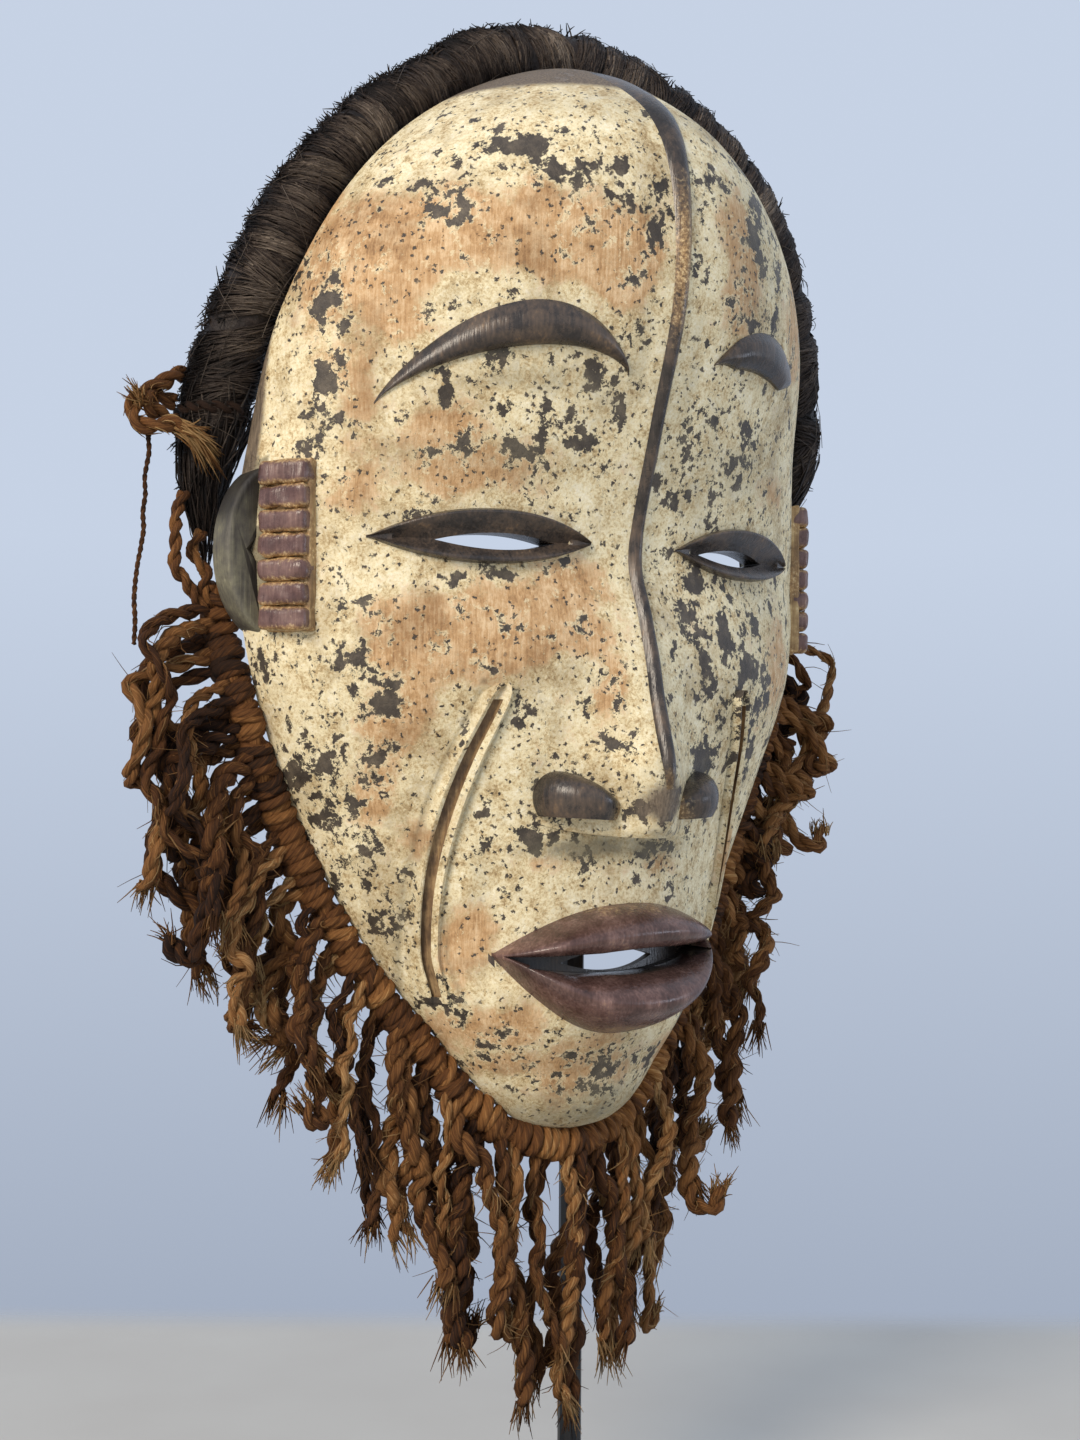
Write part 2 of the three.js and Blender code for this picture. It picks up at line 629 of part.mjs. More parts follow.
addPiece(model, 'stand_foot', standFoot(), finishes.blackSteel);
addPiece(mask, 'stand_rod', standRod(), finishes.blackSteel);
addPiece(mask, 'wood_mask', carvedMask(), finishes.paintedWood);
addPiece(mask, 'hair_roll', hairRoll(), finishes.plantFibre);
addPiece(mask, 'header_rope', polygonTube(headerCurve(), headerRadius, 6, 40), finishes.ropeFibre);
addPiece(mask, 'tie_cord', tieCord(), finishes.ropeFibre);
addPiece(mask, 'hanging_string', hangingString(), finishes.cordFibre);
for (const [word, side] of [['right', -1], ['left', 1]]) {
  for (let i = 0; i < cordsPerSide; i += 1) {
    const number = String(i + 1).padStart(2, '0');
    addPiece(mask, `beard_cord_${word}_${number}`, beardCord(i, side), finishes.cordFibre);
  }
}

export default model;
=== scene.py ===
# A carved and painted wooden face mask with a bound-fibre hair roll and a beard of twisted cords,
# held on a black steel rod. Shapes are worked out in millimetres in the mask's own frame: heights
# above the chin, +X the mask's own left, -Y forwards. toWorld turns them into metres on the stand.
import math

import bpy
import numpy as np
from mathutils import Matrix, Vector


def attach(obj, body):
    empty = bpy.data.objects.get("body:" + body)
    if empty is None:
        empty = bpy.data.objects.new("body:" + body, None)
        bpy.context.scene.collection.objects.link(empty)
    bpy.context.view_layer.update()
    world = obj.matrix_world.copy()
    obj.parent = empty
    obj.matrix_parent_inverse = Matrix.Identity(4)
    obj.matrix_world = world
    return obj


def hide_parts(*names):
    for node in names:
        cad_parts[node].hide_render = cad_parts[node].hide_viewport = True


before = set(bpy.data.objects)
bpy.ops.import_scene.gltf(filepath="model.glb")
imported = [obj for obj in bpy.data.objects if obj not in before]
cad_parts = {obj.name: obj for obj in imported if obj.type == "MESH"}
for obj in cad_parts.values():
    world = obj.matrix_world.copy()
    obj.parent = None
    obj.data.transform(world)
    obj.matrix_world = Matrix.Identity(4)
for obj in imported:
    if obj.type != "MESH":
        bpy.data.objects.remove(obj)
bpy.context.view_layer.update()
print("mask: frame loaded")

seat = {"chinHeight": 140, "behindFoot": 30}


def toWorld(points):
    return (np.asarray(points, float) + (0, seat["behindFoot"], seat["chinHeight"])) / 1000


def unit(vectors):
    vectors = np.asarray(vectors, float)
    return vectors / np.maximum(np.linalg.norm(vectors, axis=-1, keepdims=True), 1e-9)


# Smooth curve through a table of (position, value) pairs.
def along(table, at):
    places, values = np.array(table, float).T
    at = np.clip(at, places[0], places[-1])
    last = len(places) - 1
    i = np.clip(np.searchsorted(places, at, side="right") - 1, 0, last - 1)
    before = np.maximum(np.arange(last + 1) - 1, 0)
    after = np.minimum(np.arange(last + 1) + 1, last)
    slope = (values[after] - values[before]) / (places[after] - places[before])
    span = places[i + 1] - places[i]
    t = (at - places[i]) / span
    h = t * t * (3 - 2 * t)
    rise = span * (t * (1 - t) ** 2 * slope[i] - t * t * (1 - t) * slope[i + 1])
    return values[i] * (1 - h) + values[i + 1] * h + rise


def stepLengths(points):
    return np.linalg.norm(np.diff(points, axis=0), axis=1)


def runAlong(points):
    return np.concatenate([[0], np.cumsum(stepLengths(points))])


# A line's points at some places, where its own points lie at the given ones.
def pointsAt(at, places, line):
    return np.stack([np.interp(at, places, line[:, k]) for k in range(3)], -1)


# Centripetal curve through the points, cut into equal steps.
def smoothRoute(points, count):
    p = np.asarray(points, float)
    p = np.vstack([2 * p[0] - p[1], p, 2 * p[-1] - p[-2]])
    fine = [p[1]]
    for i in range(1, len(p) - 2):
        a, b, c, d = p[i - 1:i + 3]
        t1 = np.linalg.norm(b - a) ** 0.5
        t2 = t1 + np.linalg.norm(c - b) ** 0.5
        t3 = t2 + np.linalg.norm(d - c) ** 0.5
        t = np.linspace(t1, t2, 13)[1:, None]
        ab = (t1 - t) / t1 * a + t / t1 * b
        bc = (t2 - t) / (t2 - t1) * b + (t - t1) / (t2 - t1) * c
        cd = (t3 - t) / (t3 - t2) * c + (t - t2) / (t3 - t2) * d
        abc = (t2 - t) / t2 * ab + t / t2 * bc
        bcd = (t3 - t) / (t3 - t1) * bc + (t - t1) / (t3 - t1) * cd
        fine.extend((t2 - t) / (t2 - t1) * abc + (t - t1) / (t2 - t1) * bcd)
    fine = np.array(fine)
    run = runAlong(fine)
    return pointsAt(np.linspace(0, run[-1], count), run, fine)


# Camera, at the photograph's viewing angle.
cameraView = {"place": (-420.1, -569.2, 265.4), "yaw": 35.233, "lift": 1.064, "roll": 0.37, "lens": 53.75}


def makeCamera():
    yaw, lift = math.radians(cameraView["yaw"]), math.radians(cameraView["lift"])
    ahead = Vector((math.sin(yaw) * math.cos(lift), math.cos(yaw) * math.cos(lift), math.sin(lift)))
    bpy.ops.object.camera_add()
    camera = bpy.context.object
    camera.name = "camera"
    camera.data.lens = cameraView["lens"]
    turn = ahead.to_track_quat("-Z", "Y").to_matrix().to_4x4()
    roll = Matrix.Rotation(math.radians(cameraView["roll"]), 4, "Z")
    camera.matrix_world = Matrix.Translation(Vector(cameraView["place"]) / 1000) @ turn @ roll
    bpy.context.scene.camera = camera


bpy.ops.object.select_all(action="DESELECT")
makeCamera()


# Colours are sRGB hex values, turned to linear here.
def colour(hexText):
    parts = [int(hexText[i:i + 2], 16) / 255 for i in (1, 3, 5)]
    return tuple(p / 12.92 if p <= 0.04045 else ((p + 0.055) / 1.055) ** 2.4 for p in parts) + (1,)


# Adds a node with its settings, then its values and links. A Mix node here always mixes colours.
def addNode(tree, kind, settings, inputs):
    node = tree.nodes.new("ShaderNode" + kind)
    for name, value in settings.items():
        setattr(node, name, value)
    for name, value in inputs.items():
        if isinstance(value, bpy.types.Node):
            value = value.outputs[2 if value.bl_idname == "ShaderNodeMix" else 0]
        if isinstance(value, bpy.types.NodeSocket):
            tree.links.new(value, node.inputs[name])
        else:
            node.inputs[name].default_value = value
    return node


# Short forms of the nodes that the materials share.
def objectPlace(tree):
    return addNode(tree, "TexCoord", {}, {}).outputs["Object"]


def attribute(tree, name):
    return addNode(tree, "Attribute", {"attribute_name": name}, {})


def stretched(tree, place, scale):
    return addNode(tree, "Mapping", {}, {"Vector": place, "Scale": scale})


def noise(tree, place, scale, detail, roughness=0.5):
    return addNode(tree, "TexNoise", {}, {"Vector": place, "Scale": scale, "Detail": detail,
                                          "Roughness": roughness})


def arithmetic(tree, operation, *values):
    return addNode(tree, "Math", {"operation": operation}, dict(enumerate(values)))


# A value times a factor, plus another value.
def scaledSum(tree, value, factor, other):
    return arithmetic(tree, "MULTIPLY_ADD", value, factor, other)


def remap(tree, value, fromMin, fromMax, toMin=0.0, toMax=1.0, way="LINEAR"):
    inputs = {"Value": value, "From Min": fromMin, "From Max": fromMax, "To Min": toMin, "To Max": toMax}
    return addNode(tree, "MapRange", {"interpolation_type": way}, inputs)


def ramp(tree, value, stops):
    node = addNode(tree, "ValToRGB", {}, {"Fac": value})
    elements = node.color_ramp.elements
    while len(elements) < len(stops):
        elements.new(0.5)
    for element, (place, hexText) in zip(elements, stops):
        element.position = place
        element.color = colour(hexText)
    return node


def mixed(tree, mask, under, over, way="MIX"):
    return addNode(tree, "Mix", {"data_type": "RGBA", "blend_type": way}, {0: mask, 6: under, 7: over})


def bumped(tree, height, strength, distance):
    return addNode(tree, "Bump", {}, {"Height": height, "Strength": strength, "Distance": distance})


def newMaterial(name):
    material = bpy.data.materials.new(name)
    material.use_nodes = True
    material.node_tree.nodes.clear()
    return material, material.node_tree


def finishMaterial(tree, tone, roughness, specular=0.5, **others):
    shader = addNode(tree, "BsdfPrincipled", {}, {"Base Color": tone, "Roughness": roughness,
                                                  "Specular IOR Level": specular, **others})
    addNode(tree, "OutputMaterial", {}, {"Surface": shader})


# Two-ply hemp cord: combed brown fibre, matt, each ply with fine strands that wind round it.
def twistedFibre(name, shades, strandsRound, perMetre, contrast, roughness):
    material, tree = newMaterial(name)
    uv = addNode(tree, "UVMap", {"uv_map": "along"}, {})
    # One unit of v is a metre: each strand stays the same for 1/perMetre of it.
    strands = noise(tree, stretched(tree, uv, (strandsRound, perMetre, 1)), 1.0, 5, 0.7)
    place = objectPlace(tree)
    # Tone that drifts over 18 mm, and matted tufts of 3 mm.
    soft = noise(tree, place, 55, 3)
    matted = noise(tree, place, 340, 4, 0.7)
    own = scaledSum(tree, strands, contrast, attribute(tree, "tone"))
    even = 0.5 * contrast - 0.45
    spread = remap(tree, scaledSum(tree, soft, 0.5, own), 0.5 + even, 1.45 + even)
    bump = bumped(tree, scaledSum(tree, matted, 0.7, strands), 1.0, 0.0011)
    finishMaterial(tree, ramp(tree, spread, shades), roughness, 0.25, Normal=bump)
    return material


brownCord = twistedFibre("brownHempCord", [(0, "#211108"), (0.3, "#533217"), (0.62, "#8E6237"),
                                           (1, "#CFA873")], 15, 70, 1.5, 0.85)
goldenRope = twistedFibre("goldenHempRope", [(0, "#28170B"), (0.35, "#623D1E"), (0.7, "#98693A"),
                                             (1, "#CFA76F")], 15, 70, 1.5, 0.8)
darkRaffia = twistedFibre("darkRaffia", [(0, "#16100D"), (0.3, "#372D27"), (0.65, "#63574C"),
                                         (1, "#9B8D7D")], 3, 40, 0.7, 0.5)


# Frames that don't twist along many strands at once: paths is strands x points x 3.
def framesAlong(paths):
    ahead = unit(np.gradient(paths, axis=1))
    start = np.cross(ahead[:, 0], (0.31, 0.87, 0.38))
    side = np.empty_like(paths)
    side[:, 0] = unit(start)
    for i in range(1, paths.shape[1]):
        flat = side[:, i - 1] - ahead[:, i] * np.sum(side[:, i - 1] * ahead[:, i], -1, keepdims=True)
        side[:, i] = unit(flat)
    return side, np.cross(ahead, side)


# Closed tubes along many strands. Returns points, faces and a UV for each corner.
def sweep(paths, radii, sides):
    paths = np.asarray(paths)
    count, steps = paths.shape[:2]
    radii = np.broadcast_to(np.asarray(radii, float), (count, steps))
    side, up = framesAlong(paths)
    turn = 2 * np.pi * np.arange(sides) / sides
    spread = side[:, :, None] * np.cos(turn)[:, None] + up[:, :, None] * np.sin(turn)[:, None]
    points = (paths[:, :, None] + radii[:, :, None, None] * spread).reshape(-1, 3)
    strand, ring, corner = np.meshgrid(*map(np.arange, (count, steps - 1, sides)), indexing="ij")
    base = (strand * steps + ring) * sides
    ahead = (corner + 1) % sides
    quads = np.stack([base + corner, base + ahead, base + sides + ahead, base + sides + corner], -1)
    caps = np.arange(sides) + (np.arange(count) * steps * sides)[:, None]
    ends = caps + (steps - 1) * sides
    run = np.linalg.norm(np.diff(paths, axis=1), axis=-1)
    run = np.concatenate([np.zeros((count, 1)), np.cumsum(run, axis=1)], 1) / 1000
    low, high = run[:, :-1, None] + 0 * corner, run[:, 1:, None] + 0 * corner
    # The fibres lie at a slant: they go once round the tube in every 18 mm.
    uv = np.stack([np.stack([(corner + step) / sides + at * 55, at], -1)
                   for step, at in ((0, low), (1, low), (1, high), (0, high))], -2).reshape(-1, 2)
    faces = quads.reshape(-1, 4).tolist() + caps[:, ::-1].tolist() + ends.tolist()
    uv = np.concatenate([uv, np.zeros((2 * count * sides, 2))])
    return points, faces, uv


# One mesh piece from several sweeps, each with the tones of its strands or of its rings.
def strandPiece(name, parts, material):
    points, faces, uvs, tones, shift = [], [], [], [], 0
    for (partPoints, partFaces, partUv), tone in parts:
        points.append(partPoints)
        faces += [[corner + shift for corner in face] for face in partFaces]
        uvs.append(partUv)
        tones.append(np.repeat(tone, len(partPoints) // len(tone)))
        shift += len(partPoints)
    mesh = bpy.data.meshes.new(name)
    mesh.from_pydata(toWorld(np.concatenate(points)), [], faces)
    mesh.uv_layers.new(name="along").data.foreach_set("uv", np.concatenate(uvs).ravel())
    mesh.attributes.new("tone", "FLOAT", "POINT").data.foreach_set("value", np.concatenate(tones))
    mesh.polygons.foreach_set("use_smooth", [True] * len(faces))
    mesh.materials.append(material)
    piece = bpy.data.objects.new(name, mesh)
    bpy.context.collection.objects.link(piece)
    return piece


# Centre lines of the plies that are twisted round a route. The radius may change on the way.
def plies(route, count, radius, pitch, phase=0.0):
    side, up = framesAlong(route[None])
    lines = []
    for k in range(count):
        turn = (2 * np.pi * (runAlong(route) / pitch + k / count) + phase)[:, None]
        lines.append(route + np.reshape(radius, (-1, 1)) * (np.cos(turn) * side[0] + np.sin(turn) * up[0]))
    return np.array(lines)


# The thin string that hangs from the tie on the roll. Its route is the solid's route.
hangingString = {
    "diameter": 1.8, "plyRadius": 0.55, "pitch": 5, "tones": [0.02, 0.12],
    "route": [(-137, 12.5, 224.2), (-136.7, 12.5, 220), (-138.1, 12.4, 212), (-137.9, 12.3, 206.5),
              (-138.7, 12.2, 201), (-138.5, 12, 196), (-139.5, 11.8, 190), (-140.7, 11.6, 184),
              (-141.8, 11.2, 174), (-141.5, 11, 167.5), (-141.9, 10.8, 160)],
}


def makeString():
    cord = hangingString
    route = smoothRoute(cord["route"], 60)
    lines = plies(route, 2, cord["diameter"] / 2 - cord["plyRadius"], cord["pitch"])
    tubes = sweep(lines, cord["plyRadius"], 6)
    piece = strandPiece("hanging_string_twisted", [(tubes, cord["tones"])], brownCord)
    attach(piece, "root")
    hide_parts("hanging_string")


makeString()
print("mask: camera and string made")

# The smooth face: the same named sizes as the solid's.
widestHeight = 195
face = {
    "wall": 10, "crossPower": 1.9, "crossRoot": 1.7, "steps": 150, "wallFade": 6,
    "muzzle": {"proud": 7, "wide": 46, "bottom": 22, "bottomFull": 50, "topFull": 115, "top": 155},
    "rimRadius": [(-90, 191), (-84, 188), (-72, 162), (-54, 135), (-36, 120), (-18, 113.5), (0, 111.5),
                  (18, 112.5), (36, 124), (54, 138), (72, 151), (90, 165)],
    "rimBack": [(-90, -24), (-54, 0), (-18, 2.5), (18, 2), (54, -13), (90, -3)],
    "midline": [(4, 24), (7, 31), (13, 38), (25, 42), (45, 46), (65, 43), (90, 44), (115, 49), (150, 61),
                (170, 60), (190, 56), (230, 67), (270, 79), (305, 79), (328, 70), (344, 50), (354, 28),
                (360, 3)],
}


def rimPoint(angle):
    angle = np.asarray(angle, float)
    folded = np.where(angle > 90, 180 - angle, np.where(angle < -90, -180 - angle, angle))
    radius = along(face["rimRadius"], folded)
    return np.stack([radius * np.cos(np.radians(angle)), along(face["rimBack"], folded),
                     widestHeight + radius * np.sin(np.radians(angle))], -1)


rimTable = rimPoint(np.linspace(-90, 90, 1441))


def smoothStep(low, high, values):
    t = np.clip((values - low) / (high - low), 0, 1)
    return t * t * (3 - 2 * t)


def faceY(x, z):
    rimX, rimY = [np.interp(z, rimTable[:, 2], rimTable[:, k]) for k in (0, 1)]
    share = np.clip(np.abs(x) / np.maximum(rimX, 0.01), 0, 1)
    full = (1 - share ** face["crossPower"]) ** (1 / face["crossRoot"])
    muzzle = face["muzzle"]
    swell = (smoothStep(muzzle["bottom"], muzzle["bottomFull"], z)
             * smoothStep(-muzzle["top"], -muzzle["topFull"], -z))
    swell = muzzle["proud"] * swell * np.exp(-(x / muzzle["wide"]) ** 4)
    return rimY + (-along(face["midline"], z) - rimY) * full - swell


# A point beside the rim: pushed outwards in the plane of the rim, and backwards.
def besideRim(angle, outward, back):
    run = rimPoint(angle + 1) - rimPoint(angle - 1)
    away = unit(np.stack([run[..., 2], 0 * run[..., 1], -run[..., 0]], -1))
    return rimPoint(angle) + away * np.asarray(outward)[..., None] + np.stack([0 * back, back, 0 * back], -1)


def selectOnly(piece):
    bpy.ops.object.select_all(action="DESELECT")
    piece.select_set(True)
    bpy.context.view_layer.objects.active = piece


def addNew(operator, **settings):
    bpy.ops.object.select_all(action="DESELECT")
    operator(**settings)
    return bpy.context.object


# Runs one operator on all of the active mesh in edit mode.
def editAll(operator, **settings):
    bpy.ops.object.mode_set(mode="EDIT")
    bpy.ops.mesh.select_all(action="SELECT")
    operator(**settings)
    bpy.ops.object.mode_set(mode="OBJECT")


def pointsOf(piece):
    values = np.empty(len(piece.data.vertices) * 3)
    piece.data.vertices.foreach_get("co", values)
    return values.reshape(-1, 3)


def movePoints(piece, points):
    piece.data.vertices.foreach_set("co", np.asarray(points, float).ravel())
    piece.data.update()


# Turns all faces outwards.
def faceOut(piece):
    selectOnly(piece)
    editAll(bpy.ops.mesh.normals_make_consistent, inside=False)


# A flat grid given a back by an extrude. Its x and y are then the two places on the relief, and its
# z is 0 on the front and 1 on the back.
def thickGrid(columns, rows):
    piece = addNew(bpy.ops.mesh.primitive_grid_add, x_subdivisions=columns, y_subdivisions=rows, size=1)
    editAll(bpy.ops.mesh.extrude_region_move, TRANSFORM_OT_translate={"value": (0, 0, 1)})
    grid = pointsOf(piece)
    return piece, grid[:, 0] + 0.5, grid[:, 1] + 0.5, grid[:, 2] > 0.5


# Lays a piece's points out at x, y and z of the mask's frame, and gives it a finish.
def layOut(piece, coordinates, finish):
    movePoints(piece, toWorld(np.stack(coordinates, -1)))
    faceOut(piece)
    for material in faceMaterials.values():
        piece.data.materials.append(material)
    piece.data.polygons.foreach_set("material_index", [finishes.index(finish)] * len(piece.data.polygons))
    return piece


# Relief on the face: place(t, s) gives x and z, proud(t, s, x, z) its height over the smooth face, and
# sink(s) how deep its back lies.
def relief(place, proud, steps, strips, sink, finish):
    piece, t, s, isBack = thickGrid(steps, strips)
    x, z = place(t, s)
    deep = sink(s) if callable(sink) else sink
    return layOut(piece, [x, faceY(x, z) + np.where(isBack, deep, -proud(t, s, x, z)), z], finish)


def mirrored(piece):
    movePoints(piece, pointsOf(piece) * (-1, 1, 1))
    faceOut(piece)
    return piece


def carveInto(wood, tool, operation):
    modifier = wood.modifiers.new("carve", "BOOLEAN")
    modifier.operation = operation
    modifier.solver = "MANIFOLD"
    modifier.object = tool
    selectOnly(wood)
    bpy.ops.object.modifier_apply(modifier=modifier.name)
    bpy.data.objects.remove(tool)


def onBothSides(wood, tool, operation):
    selectOnly(tool)
    bpy.ops.object.duplicate()
    twin = mirrored(bpy.context.object)
    carveInto(wood, tool, operation)
    carveInto(wood, twin, operation)


# Soft zones of the paint: across, height, half width, half height, strength.
wornZones = [
    (-85, 276, 14, 24, 1.1), (-66, 286, 20, 14, 1.2), (-42, 285, 22, 14, 1.2), (-20, 281, 14, 14, 1.2),
    (-88, 232, 9, 40, 0.45), (-56, 216, 20, 12, 0.8), (-50, 165, 32, 15, 1.2), (-24, 180, 14, 10, 0.8),
    (-92, 248, 8, 24, 0.4), (-88, 214, 8, 20, 0.35), (-66, 226, 15, 8, 0.8), (-40, 220, 14, 6, 0.5),
    (-69, 162, 20, 14, 1), (-45, 166, 20, 11, 1), (-24, 166, 12, 12, 0.9), (-14, 150, 6, 12, 0.8),
    (-76, 140, 10, 14, 0.9), (-76, 116, 6, 12, 0.7), (-64, 98, 7, 12, 0.5), (-36, 40, 12, 7, 0.9),
    (-47, 68, 7, 12, 0.8), (-26, 28, 14, 7, 0.7), (-4, 92, 22, 5, 0.4), (28, 284, 11, 22, 1),
    (22, 165, 8, 14, 0.4), (70, 270, 12, 20, 0.8), (76, 156, 14, 16, 0.8), (30, 30, 14, 8, 0.8),
    (-8, 28, 30, 12, 0.75), (14, 92, 10, 5, 0.5), (-30, 300, 6, 5, 0.5), (-6, 300, 6, 8, 0.4),
    (64, 216, 14, 8, 0.5), (60, 96, 8, 14, 0.5),
]
flakeZones = [
    (-47, 315, 8, 6, 1), (-44, 307, 7, 5, 0.9), (-69, 298, 6, 8, 1), (-64, 303, 5, 4, 0.7),
    (-24, 309, 7, 6, 1), (-18, 300, 5, 6, 0.9), (-11, 292, 4, 8, 0.9), (-36, 297, 7, 5, 0.7),
    (-94, 264, 4, 10, 1), (-96, 236, 4, 16, 1), (-98, 212, 4, 12, 0.6), (-53, 264, 5, 4, 0.9),
    (-70, 258, 8, 3, 0.6), (-14, 256, 6, 14, 0.6), (-55, 248, 20, 3, 0.8), (-68, 237, 3, 5, 0.9),
    (-40, 234, 5, 6, 1), (-29, 234, 6, 7, 0.9), (-24, 222, 8, 7, 0.7), (-55, 212, 8, 3, 0.6),
    (-47, 183, 8, 2, 0.9), (-64, 181, 10, 2, 0.6), (-88, 172, 4, 4, 0.8), (-86, 154, 4, 6, 0.9),
    (-80, 143, 4, 4, 0.8), (-90, 122, 6, 10, 0.9), (-84, 108, 7, 9, 0.8), (-78, 126, 5, 5, 0.7),
    (-76, 92, 7, 10, 0.7), (-66, 78, 6, 10, 0.6), (-38, 138, 6, 5, 1), (-32, 127, 8, 3, 0.9),
    (-16, 131, 8, 3, 0.8), (-35, 102, 6, 6, 1), (-46, 96, 4, 5, 0.7), (-12, 145, 2, 5, 0.9),
    (24, 186, 6, 12, 0.6), (27, 160, 6, 18, 0.9), (38, 168, 7, 20, 0.9), (50, 152, 7, 22, 1),
    (64, 140, 7, 26, 0.8), (42, 236, 8, 6, 0.9), (22, 224, 5, 12, 0.8), (50, 268, 5, 20, 0.9),
    (40, 306, 4, 12, 0.9), (-10, 93, 8, 4, 0.8), (14, 94, 8, 6, 0.9), (-30, 99, 6, 3, 0.7),
    (-35, 36, 3, 8, 0.9), (-18, 25, 6, 4, 0.7), (0, 19, 9, 3, 0.7), (-52, 50, 4, 9, 0.6),
    (86, 110, 8, 14, 0.8), (94, 240, 5, 20, 0.8), (70, 300, 8, 8, 0.8), (36, 38, 5, 8, 0.8),
    (-24, 230, 13, 15, 0.6), (-40, 212, 14, 7, 0.5), (24, 225, 13, 24, 0.7), (46, 220, 13, 20, 0.65),
    (18, 172, 9, 22, 0.6), (30, 128, 10, 22, 0.75), (-28, 112, 12, 9, 0.6), (-20, 296, 22, 12, 0.35),
    (-40, 310, 20, 12, 0.4), (-14, 48, 30, 5, 0.3), (0, 26, 32, 8, 0.5), (22, 300, 14, 24, 0.45),
    (60, 180, 18, 22, 0.4), (8, 112, 12, 7, 0.75), (-8, 112, 5, 6, 0.7), (-60, 20, 30, 8, 0.5),
    (-48, 222, 34, 10, 0.55), (-44, 230, 30, 8, 0.5), (-8, 28, 30, 8, 0.6), (36, 280, 18, 30, 0.6),
    (40, 222, 20, 12, 0.6),
]
# Dirt, and painted shade: the entries at heights 97 to 97.5 paint the shadow under the nose over its
# grey-green stain, those at 250 and 184 paint shade just under the brows and the lids, and those at 14 and 28
# darken the chin's lower part, partly dirt and partly painted shade.
grimeAndShadeZones = [
    (-14, 97.5, 20, 4, 1.5), (12, 97.5, 16, 4, 1.3), (-42, 242, 24, 5, 0.8), (0, 60, 42, 5, 1),
    (-46, 88, 4, 18, 0.5), (-64, 84, 3, 22, 0.6), (-52, 110, 3, 20, 0.4), (-12, 250, 5, 30, 0.5),
    (10, 240, 5, 40, 0.5), (-50, 250, 26, 3, 0.6), (50, 250, 26, 3, 0.6), (-50, 184, 26, 3, 0.5),
    (50, 184, 26, 3, 0.5), (0, 14, 34, 11, 0.9), (-14, 97, 20, 5, 0.6), (0, 122, 5, 10, 0.9),
    (0, 118, 12, 12, 0.6), (-22, 236, 16, 14, 0.45), (24, 220, 14, 30, 0.45), (60, 180, 26, 30, 0.35),
    (-34, 122, 5, 8, 0.5), (34, 122, 5, 8, 0.5), (64, 84, 3, 22, 0.6), (-50, 218, 44, 13, 0.5),
    (36, 290, 26, 34, 0.5), (0, 28, 44, 12, 0.5), (0, 73, 44, 5, 0.35), (50, 222, 34, 14, 0.5),
    (-20, 300, 26, 16, 0.22), (0, 330, 60, 9, 0.5),
]
bareZones = [(0, 112, 11, 9, 0.8), (0, 103, 12, 3, 0.45)]
rubbedZones = [
    (0, 282, 6, 26, 0.6), (0, 332, 9, 7, 0.25), (0, 104, 26, 5, 0.3), (-20, 80, 20, 2, 0.3),
    (0, 78, 40, 2.5, 0.35), (0, 40, 30, 3, 0.25), (-36, 190, 8, 3, 0.15), (0, 118, 5, 7, 0.5),
    (8, 110, 7, 9, 0.8), (-8, 110, 7, 9, 0.8),
]


def zoneStrength(zones, x, z):
    total = np.zeros_like(x)
    for cx, cz, halfX, halfZ, strength in zones:
        total = np.maximum(total, strength * np.exp(-((x - cx) / halfX) ** 2 - ((z - cz) / halfZ) ** 2))
    return total


